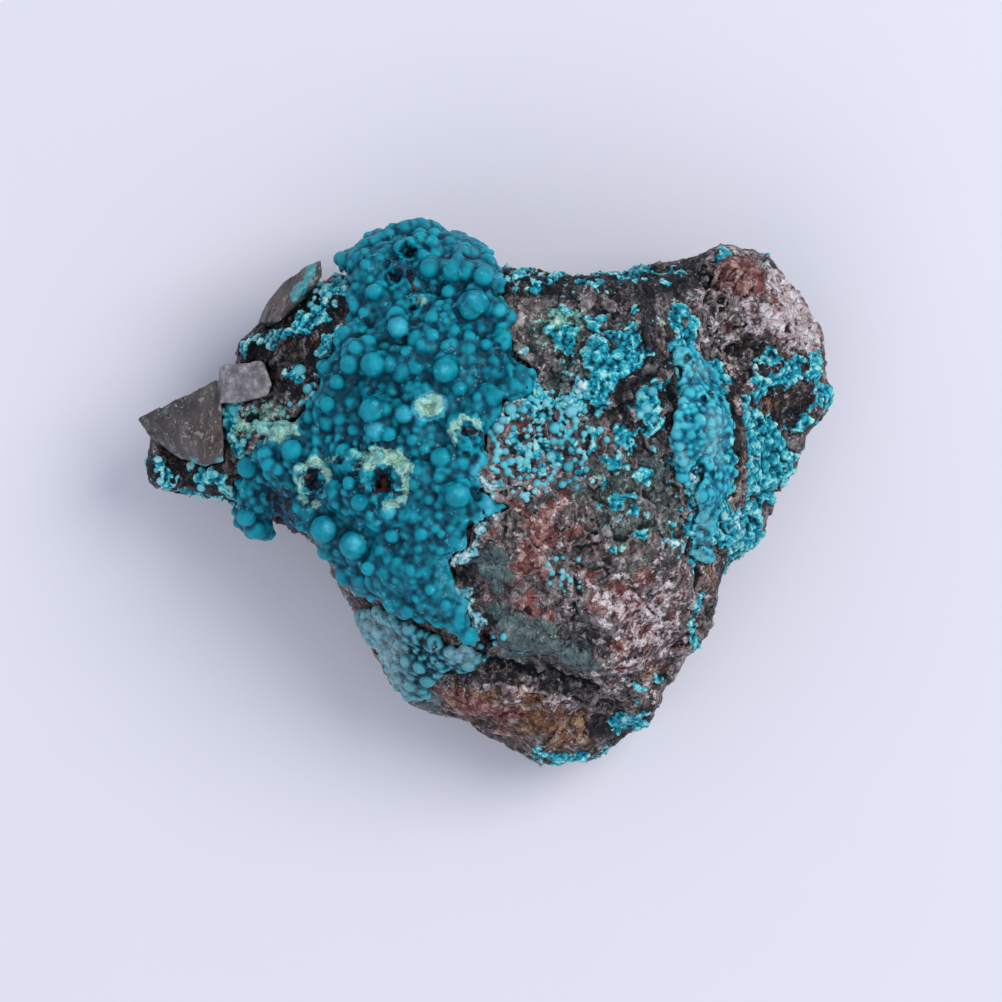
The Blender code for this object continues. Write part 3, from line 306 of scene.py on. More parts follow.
        (0.55, 0.4, LINE, (0.4, ((3, 20.9), (5.5, 21.2), (7.6, 20.9)))),
        (0.55, 0.5, SPOT, (24.9, -2.4, 1, 1.4)),
    ),
}

LUMPS = (
    (-10.7, 19.9, 0.88), (-11.1, 21.2, 0.49), (-12.6, 18.4, 0.68), (-11.9, 17.9, 0.68),
    (-8.4, 24.4, 0.68), (-5.3, 22.3, 0.98), (-2.7, 22, 1.27), (-1.6, 22, 0.98),
    (-0.2, 21.3, 0.98), (0.4, 19.8, 0.44), (1.6, 19.3, 0.39), (-0.9, 19, 1.27),
    (-1.1, 17.9, 1.17), (1.6, 18.1, 0.78), (-5.2, 17.2, 0.73), (-8.7, 17.8, 0.98),
    (-8.2, 16.2, 1.07), (-11.2, 15, 0.88), (-11.7, 16.2, 0.58), (-12.5, 14.4, 0.78),
    (-12.9, 12.9, 0.98), (-10.7, 12.8, 1.27), (-9.3, 12.7, 0.88), (-3.8, 12.2, 1.27),
    (-2.2, 12, 0.58), (-6.5, 12.4, 0.68), (-9.9, 10.6, 0.68), (-2.4, 10.4, 0.78),
    (-14.4, 11.1, 0.78), (-11, 8.5, 1.27), (-9.7, 8.4, 0.78), (-15.3, 8.9, 0.78),
    (-7.8, 7.8, 0.98), (-10.6, 6.3, 1.07), (-9.4, 5.8, 0.78), (-0.7, 9.6, 0.58),
    (-4.2, 3.3, 1.07), (-2.4, 0.2, 1.27), (-6.8, 1, 0.68), (-9.3, -1.6, 0.88),
    (-12.7, -4.8, 1.46), (-15.3, -3.3, 1.36), (-11.4, -7, 0.78), (-8.9, -3.8, 0.78),
    (-6.1, -3.7, 0.68), (-6.4, -5.1, 0.58), (-4.7, -3.1, 0.58), (-4.1, -3.7, 0.58),
    (-13, 1.1, 0.68), (-12.1, -0.4, 0.88), (1.1, 4, 0.54), (1, -2.8, 0.68), (0.4, -1.7, 0.49),
    (-1.2, -8.2, 0.39), (-10.1, 23.3, 0.58), (-7.2, 25.1, 0.58), (-3.8, 24.1, 0.68),
    (-6.7, 22.7, 0.49), (-9, 20.2, 0.58), (-7.2, 19, 0.58), (-3.5, 20, 0.78), (-4.3, 18.8, 0.58),
    (-2.8, 16.1, 0.58), (-1.4, 15.6, 0.68), (0.1, 14.7, 0.58), (-4.3, 15.2, 0.58),
    (-6.2, 14.7, 0.58), (-7.7, 14, 0.58), (-14, 7.4, 0.78), (-12.8, 6.4, 0.68), (-15, 5.4, 0.68),
    (-7, 5.4, 0.68), (-5.7, 4.5, 0.58), (-8.2, 4.5, 0.58), (-5.3, -0.4, 0.58),
    (-4.3, -1.9, 0.49), (-8.2, -0.4, 0.49), (-13.5, -1.6, 0.58), (-14.5, -0.9, 0.58),
    (-7.2, -7.2, 0.58), (-8.7, -8.2, 0.49), (-5.3, -9.2, 0.58), (-3.8, -10.6, 0.58),
    (-6.7, -10.1, 0.49), (-10.1, -5.3, 0.58), (-7.7, -5.5, 0.58), (-4.3, -5.3, 0.49),
)
LOW_LUMPS = (
    (-21.5, 4.2, 0.88), (-19, 4.5, 1.07), (-21.2, 3.1, 0.78), (-23.8, -2.2, 0.98),
    (-22.9, -3.2, 1.07), (-18.4, -1.1, 0.58), (-18.2, -2.9, 0.68), (-22.3, -1.2, 0.68),
    (-24.1, -0.4, 0.68), (-20.2, 2.6, 0.68), (-22.1, 1.6, 0.58), (-18.2, 2.6, 0.78),
)
BEADS = (
    (6.1, 9, 0.54), (7.2, 8.7, 0.49), (8, 9.4, 0.49), (8.4, 8.1, 0.78), (8.9, 7.3, 0.58),
    (6.9, 6.6, 0.78), (8.3, 6.2, 0.49), (8.6, 5.3, 0.44), (7.5, 5.2, 0.49), (9.7, 6, 0.49),
    (6.5, 3.8, 0.68), (8.2, 2.8, 0.68), (8.8, 3.5, 0.39), (8.9, 1.7, 0.39), (8.3, 1.4, 0.39),
    (9.7, 4.2, 0.34), (2.6, 8.4, 0.78), (3.4, 3.5, 0.58), (4.1, 3.3, 0.58), (4.9, 0.4, 0.39),
    (3.5, 1.7, 0.39), (5.1, 9.2, 0.49), (5.7, 7.8, 0.49), (1.3, 6.6, 0.78), (0.8, 2.7, 0.39),
    (6.8, 2.3, 0.39), (6.2, -6.7, 0.39), (7.6, -7.3, 0.39), (7.6, -8, 0.39), (6.4, -8.5, 0.39),
    (8.4, -8.2, 0.39), (5.4, 10.3, 0.49), (4.5, 9.5, 0.49), (3.9, 8.3, 0.49), (1.8, 7.4, 0.58),
    (2.8, 5.4, 0.39), (4.5, 6.4, 0.39), (5.5, 5.4, 0.39), (2.1, 4.3, 0.49), (4.9, 2.5, 0.39),
    (5.9, 1.1, 0.39), (11.3, 6.4, 0.49), (11.9, 5.4, 0.49), (15.1, 9.8, 0.68),
    (16.3, 10.1, 0.68), (15.9, 8.5, 0.68), (15.1, 7.8, 0.58), (16.4, 7.4, 0.49),
    (-18.1, 12.4, 0.78), (-17.4, 10.5, 0.68), (-16.9, 9.3, 0.68),
)
# Ridges, furrows and stones that the teal mineral keeps off.
BARE_ROCK = (
    (1.3, 0.3, LINE, (0.65, ((15.9, 20), (15.8, 16.6), (16.2, 14.7), (17.5, 13.6), (16.5, 12.4),
                             (14.5, 11.6), (13.5, 10), (13.7, 8.0), (14.7, 7.0)))),
    (1.0, 0.3, LINE, (0.45, ((18.4, 12.5), (18.6, 9.0), (18.1, 5.5), (18.8, 2.0)))),
    (1.0, 0.4, LINE, (0.6, ((23.0, 19.5), (24.6, 13), (24.8, 7), (25.0, 3.5), (24.8, -1.0)))),
    (0.7, 1.0, AREA, ((27.6, 9.6), (30.5, 11.6), (33.4, 11.6), (33.4, 8.8), (30.5, 6.4),
                      (27.8, 7.2))),
    (0.8, 0.5, AREA, ((2.5, 19.0), (8.5, 20.0), (8.5, 18.5), (3.0, 16.0))),
)
# How much softer than tabled the edges of the rock's zones are, and how much weaker the zones.
ZONE_MIX = {
    "red": (2.6, 0.8), "pale": (2.6, 0.95), "olive": (2.6, 0.85), "glassy": (1.2, 0.95),
    "brown": (2.2, 0.8), "black": (1.6, 0.9), "green": (1.8, 0.95), "fringe": (1.4, 0.95),
}
CALM_SLOPE = (0.35, -0.15)  # sides of a crust that look up less than this are calm too
CALM_SHRINK = 0.3  # how much smaller and deeper the lumps are where a crust is calm
DOME_HEIGHT = 0.3
LOBE_SIZE = 2.9
LOBE_HEIGHT = 0.9
UNEVEN_SIZE = 1.1
UNEVEN_DEPTH = 0.12
GAP_SIZE = 3.0
# Seeded lumps of the crusts: the seed, radii, tries, nearest spacing as a share of touching,
# and how deep named and seeded lumps sit, as shares of their radius.
CRUST_LUMPS = {
    "radii": (0.4, 1.3), "count": 3400, "spacing": 0.62, "seed": 3, "sinks": (0.35, 0.55),
}
SMALL_CRUST_LUMPS = {"count": 1500, "spacing": 0.55, "sinks": (0.05, 0.4)}
RING_BEADS = 46
RING_BEAD_SIZE = (0.16, 0.36)
BEAD_SCALE = 0.8
FINE_BALL = 0.5  # balls larger than this are made finer
# A crust's faces are dropped where they lie this deep in the rock, or look at it from near.
BURIED = 0.18
BURIED_REACH = 0.9
TURNED_REACH = 0.7
TURNED = 0.3
# Where the crust's small lumps are fused nearly flat.
CALM_CRUST = (
    (1.0, 2.0, AREA, ((-15, 0), (-9, -1), (-3, 1), (0, -4), (-1, -14), (-6, -13), (-13, -8))),
    (0.7, 1.5, AREA, ((-7, 16), (1, 16), (5, 9), (1, 7), (-6, 10))),
)
# Raised rings of the main crust: X, Y, outer radius, radius of the hole.
RINGS = (
    (-16.7, 1.5, 2.0, 0.5), (-9.9, 1.5, 2.2, 0.6), (-1.7, 6.1, 1.6, 0.5), (-6.2, 19.3, 0.7, 0.3),
)
# Openings in the crust: X, Y, radius, depth.
CRUST_HOLES = (
    (-16.8, 1.3, 0.8, 0.1), (-9.9, 1.4, 0.8, 0.1), (-1.2, 6.1, 0.8, 0.2),
    (-8.7, 21.6, 0.7, 1.2), (-7.5, 24.1, 0.8, 1.2), (-7.0, 18.3, 0.5, 1.0), (-14.0, 3.5, 0.4, 0.6),
    (-12.1, 3.2, 0.35, 0.6),
)
PALE_TOPS = (
    (-8.2, 16.5, 1.2), (-7.8, 7.9, 1.0), (-10.6, 6.4, 1.0), (-9.3, -1.5, 0.9), (-12.7, -4.6, 1.1),
    (1.6, 18.1, 0.8), (1.1, -2.8, 0.7), (0.4, -1.7, 0.6), (-9.9, 1.8, 0.3), (1.4, 21.4, 0.9),
    (-0.9, 19.3, 0.6), (-2.4, 0.3, 0.7), (-3.8, 12.3, 0.7), (-15.3, -3.2, 0.8),
)
# Pale blue outlines on the main crust, round the oval disc and down its right edge.
PALE_LINES = (
    (0.9, 0.15, LINE, (0.14, ((-7.0, 8.7), (-6.5, 9.6), (-5.3, 10.1), (-4.1, 9.6), (-3.6, 8.7),
                              (-4.1, 7.8), (-5.3, 7.3), (-6.5, 7.8), (-7.0, 8.7)))),
    (0.75, 0.4, LINE, (0.4, ((0.3, 4.2), (-0.8, 2.3), (0.3, 0.5), (0.6, -1.2), (-0.5, -2.8),
                             (-2.0, -5.2), (-4.2, -6.4), (-4.3, -7.6), (-2.2, -9.9),
                             (-1.0, -12.6)))),
)
GREEN_DISC = (1.3, 0.25, SPOT, (-5.3, 8.7, 1.35, 1.0))
GREEN_ON_CRUST = (
    (0.85, 0.4, LINE, (0.5, ((-18.0, 2.6), (-17.0, 3.5), (-15.8, 3.2), (-15.4, 2.0)))),
    (0.65, 0.4, LINE, (0.3, ((-15.4, 2.0), (-15.5, 0.2), (-16.2, -1.0), (-17.4, -0.9)))),
    (0.75, 0.4, LINE, (0.4, ((-17.4, -0.9), (-18.3, 0.8), (-18.0, 2.6)))),
    (0.95, 0.4, LINE, (0.75, ((-11.5, 2.9), (-10.3, 3.9), (-8.5, 3.9), (-7.7, 2.7)))),
    (0.85, 0.4, LINE, (0.5, ((-7.6, 2.7), (-7.9, 0.9), (-8.3, -0.6)))),
    (0.95, 0.4, LINE, (0.6, ((-8.3, -0.6), (-9.4, -1.1)))),
    (0.5, 0.4, LINE, (0.3, ((-9.4, -1.1), (-11.4, 0.2), (-11.5, 2.9)))),
    (0.6, 0.4, LINE, (0.4, ((-15.9, 3.4), (-14.2, 3.7), (-12.6, 3.9), (-11.0, 3.6)))),
    (0.75, 0.3, LINE, (0.35, ((-2.9, 5.3), (-3.1, 6.5), (-2.4, 7.3), (-1.2, 7.3), (-0.4, 6.8)))),
    (0.6, 0.3, SPOT, (-6.2, 19.3, 0.6, 0.7)),
    (0.6, 0.5, AREA, ((-26, 9.5), (-22, 10.5), (-18.5, 9.5), (-18, 6), (-22, 5), (-25, 5.5))),
)
DARK_ON_CRUST = (
    (0.85, 0.7, SPOT, (-16.9, 1.3, 0.9, 1.8)), (0.85, 0.8, SPOT, (-9.9, 1.5, 1.1, 1.3)),
    (0.6, 0.3, LINE, (0.3, ((-15.0, 3.3), (-13.6, 3.2), (-12.0, 3.0)))),
    (0.7, 0.4, AREA, ((-10.5, 23.2), (-8, 23.4), (-6.4, 21.6), (-5.6, 19.6), (-6.6, 19.8),
                      (-8, 21.6))),
    (0.9, 0.25, LINE, (0.35, ((-2.0, 6.2), (-0.4, 5.9)))),
    (0.8, 0.6, AREA, ((-22.1, 0.9), (-18.9, 1.1), (-18.3, -3.9), (-20.6, -3.8))),
    (0.9, 0.2, SPOT, (-8.7, 21.6, 0.55, 0.4)), (0.9, 0.25, SPOT, (-7.3, 24.1, 0.7, 0.5)),
    (0.9, 0.2, SPOT, (-7.0, 18.3, 0.3, 0.6)), (0.9, 0.15, SPOT, (-14, 3.5, 0.25, 0.25)),
    (0.9, 0.15, SPOT, (-12.1, 3.2, 0.3, 0.2)), (0.8, 0.2, SPOT, (-6.4, 20.3, 0.5, 0.25)),
)
PALE_ON_VEIN = (
    (0.4, 0.4, LINE, (0.3, ((18.9, 14), (19.0, 10), (18.8, 6), (19.6, 2), (20.8, -2.5)))),
    (0.4, 0.5, LINE, (0.8, ((21.3, -2.0), (21.2, -6.5)))),
    (0.45, 0.5, SPOT, (20.2, 12.5, 1.2, 1.2)), (0.5, 0.6, SPOT, (22.4, 5.5, 1.0, 2.2)),
)
PALE_ON_LEDGE = (
    (0.62, 0.8, AREA, ((-13.5, -10), (-9.5, -10.5), (-8.2, -14.0), (-7.0, -20.8), (-10, -20),
                       (-13.5, -14))),
    (0.7, 0.5, SPOT, (-2, -15.5, 1.4, 1.0)),
)
# Where small beads are scattered: corners, tries, smallest and largest radius.
BEAD_FIELDS = (
    (((1.5, 10), (6, 10.2), (10.3, 10), (10.6, 5), (9.6, 1), (4, -0.5), (1, 1), (0.5, 6)),
     320, 0.2, 0.5),
    (((5.5, -6), (9.5, -6), (9.5, -9.5), (5.5, -9.5)), 14, 0.2, 0.4),
    (((-25.5, 9), (-18.5, 9.5), (-18, 6), (-21.5, 5), (-25.5, 5.5)), 40, 0.2, 0.4),
    (((-34, 3), (-26, 1.5), (-23, 0), (-24, -1), (-33, 0.5)), 16, 0.25, 0.5),
    (((-18.5, 21), (-13, 22), (-13, 19), (-17, 18)), 24, 0.25, 0.5),
    (((-0.8, -13.8), (2, -13.5), (1.5, -16), (-3, -16.5)), 26, 0.25, 0.5),
)
# Hollows in the rock: X, Y, radius, depth.
PITS = (
    (9.1, -14.1, 0.9, 0.3), (11.3, -21.9, 1.5, -1.2), (-0.2, -14.1, 0.6, 1.2), (-2.6, -7.9, 0.9, 0.7),
    (-20.5, 7.3, 0.6, 0.9), (-23.1, 7.8, 0.6, 0.8), (18.2, 9.9, 0.9, 0.8), (-20, -1.4, 1.1, 1.0),
    (23.6, 19.0, 0.9, 0.7), (28.4, 10.2, 1.0, 0.8), (26.4, 6.2, 0.8, 0.7), (14.6, 8.9, 0.5, 0.4),
)
# Sharp ridges (over zero) and cracks (under zero): height, half width, points.
RIDGES = (
    (0.55, 0.35, ((15.6, 19), (15.8, 16), (16.2, 14.2), (17.1, 13.2), (14.4, 11.2), (13.7, 9.6),
                  (14.5, 7.7))),
    (0.4, 0.3, ((1.3, -18.7), (5.5, -19.3), (11.2, -20.8))),
    (-0.8, 0.35, ((-0.6, -15.6), (3.5, -16.9), (7.4, -17.6), (11.4, -19.2))),
    (-0.6, 0.3, ((21.5, 23), (21.9, 19.3), (22.7, 14.8), (25.8, 14.1))),
    (0.5, 0.3, ((24.3, 7), (25.1, 3.5), (24.9, -0.4))),
    (-0.5, 0.25, ((21.0, 11), (21.2, 7), (20.9, 3.5))),
    (-0.4, 0.25, ((9.4, -6.5), (9.0, -9.5), (8.9, -12.5))),
)
# Sheets of rock on edge: direction across them in radians, distance apart, corners.
LAYERED = (
    (0.15, 1.1, ((21.4, 9.9), (25.6, 9.4), (27.6, -0.4), (24, -6.3), (22.7, -14.2), (20.7, -15.2),
                 (21.2, -6.3), (21.8, 1.6))),
    (-0.5, 1.3, ((21.7, 23), (27.9, 23.6), (33.5, 16.3), (32.5, 14.4), (27.1, 14.4), (23, 15.3))),
    (1.45, 0.8, ((1.5, 22.5), (10, 23), (20, 23), (22, 20.5), (12, 20.3), (3, 20.2))),
    (0.05, 1.0, ((14.5, 19.5), (21.5, 20), (22, 12), (18.5, 8), (14, 8))),
    (-0.6, 2.2, ((-24.6, 14.5), (-22, 18.2), (-16.5, 21.2), (-13.3, 22.6), (-13.3, 16.4),
                 (-15.8, 10), (-22, 11.5))),
)
# What shows on the sides and the underside: level, spread, size of the patches.
SIDE_MINERALS = {
    "teal": (0.2, 0.9, 3.4),
    "black": (0.36, 0.8, 4.5),
    "red": (0.32, 0.9, 5.0),
    "pale": (0.25, 0.9, 3.2),
    "green": (0.08, 0.7, 3.0),
    "olive": (0.38, 0.8, 4.0),
    "glassy": (0.12, 0.7, 5.0),
    "brown": (0.34, 0.9, 5.5),
    "fringe": (0.05, 0.5, 2.4),
}
# Zones of each crystal: clouded, stained, teal.
ARM_ZONES = (
    ((1.0, 0.3, AREA, ((-26.4, 13.2), (-21, 14), (-20, 9), (-26.2, 8.6))),),
    ((0.5, 1.0, AREA, ((-30, 7), (-25.5, 8.5), (-25, 3), (-29, 3))),),
    ((0.6, 0.4, LINE, (0.5, ((-34, 5), (-31, 4), (-27.7, 3), (-25.8, 3.4)))),),
)
SHARD_ZONES = (
    ((0.75, 0.5, LINE, (0.7, ((-20.5, 21.5), (-18, 22.8), (-16.5, 23.4)))),),
    ((0.9, 0.5, SPOT, (-20.4, 18.8, 1.2, 1.8)),),
    ((0.9, 0.3, LINE, (0.6, ((-17.2, 22.4), (-17.8, 20.8), (-18.6, 19.6)))),),
)

ROCK_CHANNELS = {
    "zone_a": ("teal", "black", "red", "pale"),
    "zone_b": ("green", "olive", "glassy", "brown"),
    "zone_c": ("cavity", "fringe", "top", "one"),
}
# Fine lines along the streaks of the rock: level and width of the noise, strength, colour.
STREAK_LINES = ((0.47, 0.012, 0.8, (22, 19, 22)), (0.57, 0.009, 0.5, (206, 198, 200)))
BASE_PALETTE = (
    (0.12, (26, 23, 25)), (0.4, (70, 62, 62)), (0.65, (118, 106, 106)), (0.9, (178, 168, 166)),
)
# Minerals of the rock, each painted over the last: mask, noise, spread, hardness, roughness,
# colours.
ROCK_LAYERS = (
    ("olive", "Patch A", 2.6, 6.0, 0.65,
     ((0.12, (24, 30, 31)), (0.4, (62, 72, 70)), (0.65, (98, 108, 102)), (0.9, (160, 168, 162)))),
    ("brown", "Patch B", 2.4, 6.0, 0.6,
     ((0.12, (40, 24, 20)), (0.4, (98, 58, 42)), (0.65, (138, 94, 58)), (0.9, (178, 150, 112)))),
    ("red", "Patch C", 2.6, 7.0, 0.7,
     ((0.12, (50, 26, 26)), (0.38, (106, 56, 52)), (0.62, (144, 92, 86)), (0.9, (200, 172, 168)))),
    ("pale", "Patch D", 3.0, 7.0, 0.6,
     ((0.08, (112, 70, 66)), (0.28, (170, 142, 144)), (0.55, (208, 193, 196)),
      (0.9, (246, 242, 242)))),
    ("glassy", "Patch B", 1.4, 5.0, 0.2,
     ((0.12, (42, 54, 58)), (0.45, (74, 92, 94)), (0.75, (104, 124, 124)),
      (0.95, (156, 172, 168)))),
    ("black", "Patch F", 3.0, 8.0, 0.45,
     ((0.12, (6, 6, 9)), (0.45, (18, 18, 24)), (0.75, (40, 37, 40)), (0.95, (92, 87, 90)))),
)
# Copper minerals, painted over the rock's cracks and stains.
COPPER_LAYERS = (
    ("green", "Patch E", 2.6, 7.0, 0.6,
     ((0.12, (40, 104, 104)), (0.4, (100, 166, 152)), (0.68, (156, 204, 184)),
      (0.92, (218, 232, 216)))),
    ("teal", "Patch D", 1.5, 9.0, 0.5,
     ((0.08, (0, 50, 68)), (0.3, (0, 104, 128)), (0.55, (4, 150, 174)), (0.75, (66, 192, 204)),
      (0.95, (172, 228, 222)))),
    ("fringe", "Patch C", 2.4, 7.0, 0.6,
     ((0.12, (10, 116, 142)), (0.45, (92, 180, 198)), (0.75, (164, 214, 220)),
      (0.95, (224, 238, 236)))),
)
# The hollows of a crust: rusty, near black and blue by turns.
HOLLOW_STOPS = ((0.34, (110, 60, 48)), (0.4, (34, 28, 32)), (0.5, (18, 24, 36)),
                (0.55, (26, 88, 120)), (0.64, (34, 30, 38)))
# Painted crevice shade, deep, body, painted top highlight, pale patches, green patches, hollows.
CRUST_COLOURS = (
    (0, 42, 58), (0, 84, 104), (0, 118, 136), (14, 156, 174), (84, 190, 214), (172, 214, 190),
    (34, 26, 26),
)
VEIN_COLOURS = (
    (0, 48, 64), (0, 100, 124), (4, 144, 168), (66, 192, 206), (168, 222, 224), (168, 214, 190),
    (14, 56, 66),
)
LEDGE_COLOURS = (
    (4, 26, 32), (4, 66, 80), (16, 112, 128), (84, 164, 176), (168, 198, 204), (168, 206, 166),
    (30, 28, 32),
)
# Small crusts: solid, piece, slot, radii of the lumps, depth of the gaps, seed, colours, pale
# zones, level of the hollows.
SMALL_CRUSTS = (
    ("chrysocolla_vein", "vein_surface", "pale_teal_chrysocolla", (0.3, 0.8), 1.7, 7,
     VEIN_COLOURS, PALE_ON_VEIN, 0.1),
    ("ledge_crust", "ledge_surface", "grey_blue_chrysocolla", (0.4, 0.95), 0.6, 9,
     LEDGE_COLOURS, PALE_ON_LEDGE, 0.12),
)
BEAD_COLOURS = (
    (0, 44, 60), (0, 92, 114), (18, 140, 164), (92, 192, 206), (150, 212, 218), (168, 206, 166),
    (18, 20, 24),
)
SMOKY_PALETTE = (
    (0.4, (34, 31, 31)), (0.55, (60, 55, 54)), (0.7, (82, 76, 73)), (0.85, (118, 110, 106)),
)
CLOUDED_PALETTE = (
    (0.3, (78, 74, 77)), (0.5, (116, 112, 117)), (0.62, (148, 144, 150)), (0.75, (214, 210, 214)),
)
STAIN_PALETTE = (
    (0.3, (44, 34, 30)), (0.5, (74, 58, 50)), (0.65, (98, 80, 70)), (0.8, (140, 122, 108)),
)
# Scratches and flaws of the quartz: level and width of the noise, strength, colour.
SCRATCHES = (
    (0.44, 0.006, 0.6, (22, 20, 20)), (0.52, 0.004, 0.5, (176, 172, 172)),
    (0.6, 0.02, 0.45, (196, 192, 194)),
)
TEAL_PALETTE = (
    (0.25, (10, 80, 96)), (0.5, (60, 150, 156)), (0.8, (120, 190, 180)), (0.95, (180, 214, 204)),
)
CRACK_SCALE = 0.85  # of the medium grains too, so that the cracks run between them
# Ragged noises in threes: letters, scale, roughness, how far away they are taken.
PATCH_NOISES = (("ABC", 0.5, 0.62, 0.0), ("DEF", 0.95, 0.66, 37.0))
# Noises and weights that pick the colours from a palette, and what is taken off their sum.
ROCK_BLEND = (("Fine", 0.16), ("Medium", 0.24), ("Streak", 1.1), ("Patch F", 1.2))
ROCK_BLEND_LESS = 0.83
GLASSY_BLEND = (("Patch A", 1.6), ("Fine", 0.08))
GLASSY_BLEND_LESS = 0.3
# Its cavity weight paints shade: the copper minerals take darker colours in crevices.
COPPER_BLEND = (("Fine", 0.3), ("Patch E", 1.2), ("Patch F", 1.0), ("cavity", -0.9))
COPPER_BLEND_LESS = 0.3
FLECK_BLEND = (("Fine", 0.4), ("Patch D", 1.0))
ROCK_FLECK = (212, 206, 206)
CRACK_COLOUR = (20, 18, 22)
STAIN_COLOUR = (26, 22, 24)
# Painted shade in the rock's crevices.
ROCK_CREVICE_SHADE = (12, 12, 15)
# Painted highlight on the rock's raised points.
RAISED_HIGHLIGHT_COLOUR = (206, 204, 202)
# Painted shade in the crevices of the copper minerals.
COPPER_CREVICE_SHADE = (4, 22, 30)
CRYSTAL_FLECK = (172, 166, 160)

# The stage, in metres.
FLOOR_SIZE = 3.0
FLOOR_COLOUR = (0.735, 0.725, 0.80)
SKY_COLOUR = (0.80, 0.86, 1.0, 1.0)
LIGHT_COLOUR = (1.0, 0.985, 0.96)
# Soft round lights: name, place, size, share of the window's power.
LIGHTS = (
    ("window", (0.5, 0.26, 0.72), 0.6, 1.0), ("fill", (-0.3, -0.5, 0.9), 0.9, 0.35),
)
CAMERA_PLAN = (1.65, -0.5)  # millimetres
SENSOR_WIDTH = 36.0

# --- plan geometry ------------------------------------------------------------------------


def soft_step(value, width):
    return np.clip(0.5 + value / (2.0 * width), 0.0, 1.0)


def ramp(value, low, high):
    """0 below low, 1 above high, smooth between."""
    share = np.clip((value - low) / (high - low), 0.0, 1.0)
    return share * share * (3.0 - 2.0 * share)


def line_distance(x, y, points):
    nearest = np.full(x.shape, FAR)
    for (ax, ay), (bx, by) in zip(points, points[1:]):
        dx, dy = bx - ax, by - ay
        along = np.clip(((x - ax) * dx + (y - ay) * dy) / (dx * dx + dy * dy), 0.0, 1.0)
        nearest = np.minimum(nearest, np.hypot(x - ax - along * dx, y - ay - along * dy))
    return nearest


def inside_distance(x, y, corners):
    """Distance from the edge of an area: over zero inside it, under zero outside."""
    closed = tuple(corners) + (corners[0],)
    distance = line_distance(x, y, closed)
    inside = np.zeros(x.shape, bool)
    for (ax, ay), (bx, by) in zip(closed, closed[1:]):
        if ay != by:
            inside ^= ((ay > y) != (by > y)) & (x < ax + (y - ay) * (bx - ax) / (by - ay))
    return np.where(inside, distance, -distance)


def zone_value(x, y, rows, spread=1.0):
    """The strongest of a list of plan zones at each point. The spread softens their edges."""
    best = np.zeros(x.shape)
    for strength, softness, kind, data in rows:
        if kind == SPOT:
            cx, cy, rx, ry = data
            distance = (1.0 - np.hypot((x - cx) / rx, (y - cy) / ry)) * min(rx, ry)
        elif kind == LINE:
            distance = data[0] - line_distance(x, y, data[1])
        else:
            distance = inside_distance(x, y, data)
        best = np.maximum(best, strength * soft_step(distance, softness * spread))
    return best


# --- mesh helpers -------------------------------------------------------------------------


def points_of(mesh):
    """Vertex positions in millimetres, in the plan tables' frame."""
    flat = np.empty(len(mesh.vertices) * 3, np.float32)
    mesh.vertices.foreach_get("co", flat)
    points = flat.reshape(-1, 3).astype(float) / MM
    points[:, 0] -= PLAN_SHIFT[0]
    points[:, 1] -= PLAN_SHIFT[1]
    return points


def move_points(mesh, points):
    moved = np.array(points, float)
    moved[:, 0] += PLAN_SHIFT[0]
    moved[:, 1] += PLAN_SHIFT[1]
    mesh.vertices.foreach_set("co", (moved * MM).astype(np.float32).ravel())
    mesh.update()


def normals_of(mesh):
    flat = np.empty(len(mesh.vertices) * 3, np.float32)
    mesh.vertex_normals.foreach_get("vector", flat)
    return flat.reshape(-1, 3).astype(float)


def add_object(name, data):
    made = bpy.data.objects.new(name, data)
    bpy.context.scene.collection.objects.link(made)
    return made


def bake(obj):
    """Replaces an object's mesh with what its modifiers make of it."""
    bpy.context.view_layer.update()
    graph = bpy.context.evaluated_depsgraph_get()
    mesh = bpy.data.meshes.new_from_object(obj.evaluated_get(graph))
    old = obj.data
    obj.modifiers.clear()
    obj.data = mesh
    bpy.data.meshes.remove(old)


def remesh(obj, voxel):
    modifier = obj.modifiers.new("Voxels", "REMESH")
    modifier.mode = "VOXEL"
    modifier.voxel_size = voxel * MM
    bake(obj)


def smooth(obj, steps):
    modifier = obj.modifiers.new("Soften", "SMOOTH")
    modifier.factor = SMOOTH_FACTOR
    modifier.iterations = steps
    bake(obj)


def thin(obj):
    """Brings a mesh under MOST_TRIANGLES triangles, where it is flattest."""
    triangles = sum(len(face.vertices) - 2 for face in obj.data.polygons)
    if triangles <= MOST_TRIANGLES:
        return
    modifier = obj.modifiers.new("Thin", "DECIMATE")
    modifier.ratio = MOST_TRIANGLES / triangles
    bake(obj)


def smoothed_points(obj, steps):
    """Where the vertices of an object would go if its surface were smoothed."""
    twin = add_object("smoothed_twin", obj.data.copy())
    smooth(twin, steps)
    points = points_of(twin.data)
    mesh = twin.data
    bpy.data.objects.remove(twin, do_unlink=True)
    bpy.data.meshes.remove(mesh)
    return points


def stand_out(obj, points, normals, steps, weights):
    """How far each point stands out from its surroundings: 0.5 on average, 0 in a crevice."""
    total = np.full(len(points), 0.5)
    for count, weight in zip(steps, weights):
        height = ((points - smoothed_points(obj, count)) * normals).sum(axis=1)
        total += weight * height / height.std()
    return np.clip(total, 0.0, 1.0)


def copy_of_node(node, name):
    made = add_object(name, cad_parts[node].data.copy())
    made.data.transform(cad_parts[node].matrix_world)
    made.data.materials.clear()
    return made


def tree_of(obj):
    return BVHTree.FromObject(obj, bpy.context.evaluated_depsgraph_get())


def store_colour(mesh, name, channels):
    """Stores four numbers for each vertex, as one colour attribute."""
    attribute = mesh.attributes.new(name, "FLOAT_COLOR", "POINT")
    values = np.stack([np.broadcast_to(c, len(mesh.vertices)) for c in channels], axis=1)
    attribute.data.foreach_set("color", values.astype(np.float32).ravel())


def shade_smooth(mesh):
    mesh.polygons.foreach_set("use_smooth", [True] * len(mesh.polygons))
    mesh.update()


def adopt(obj, nodes=()):
    """Ties a piece to the specimen, in place of these solids."""
    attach(obj, "root")
    if nodes:
        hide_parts(*nodes)


# --- fields over points -------------------------------------------------------------------


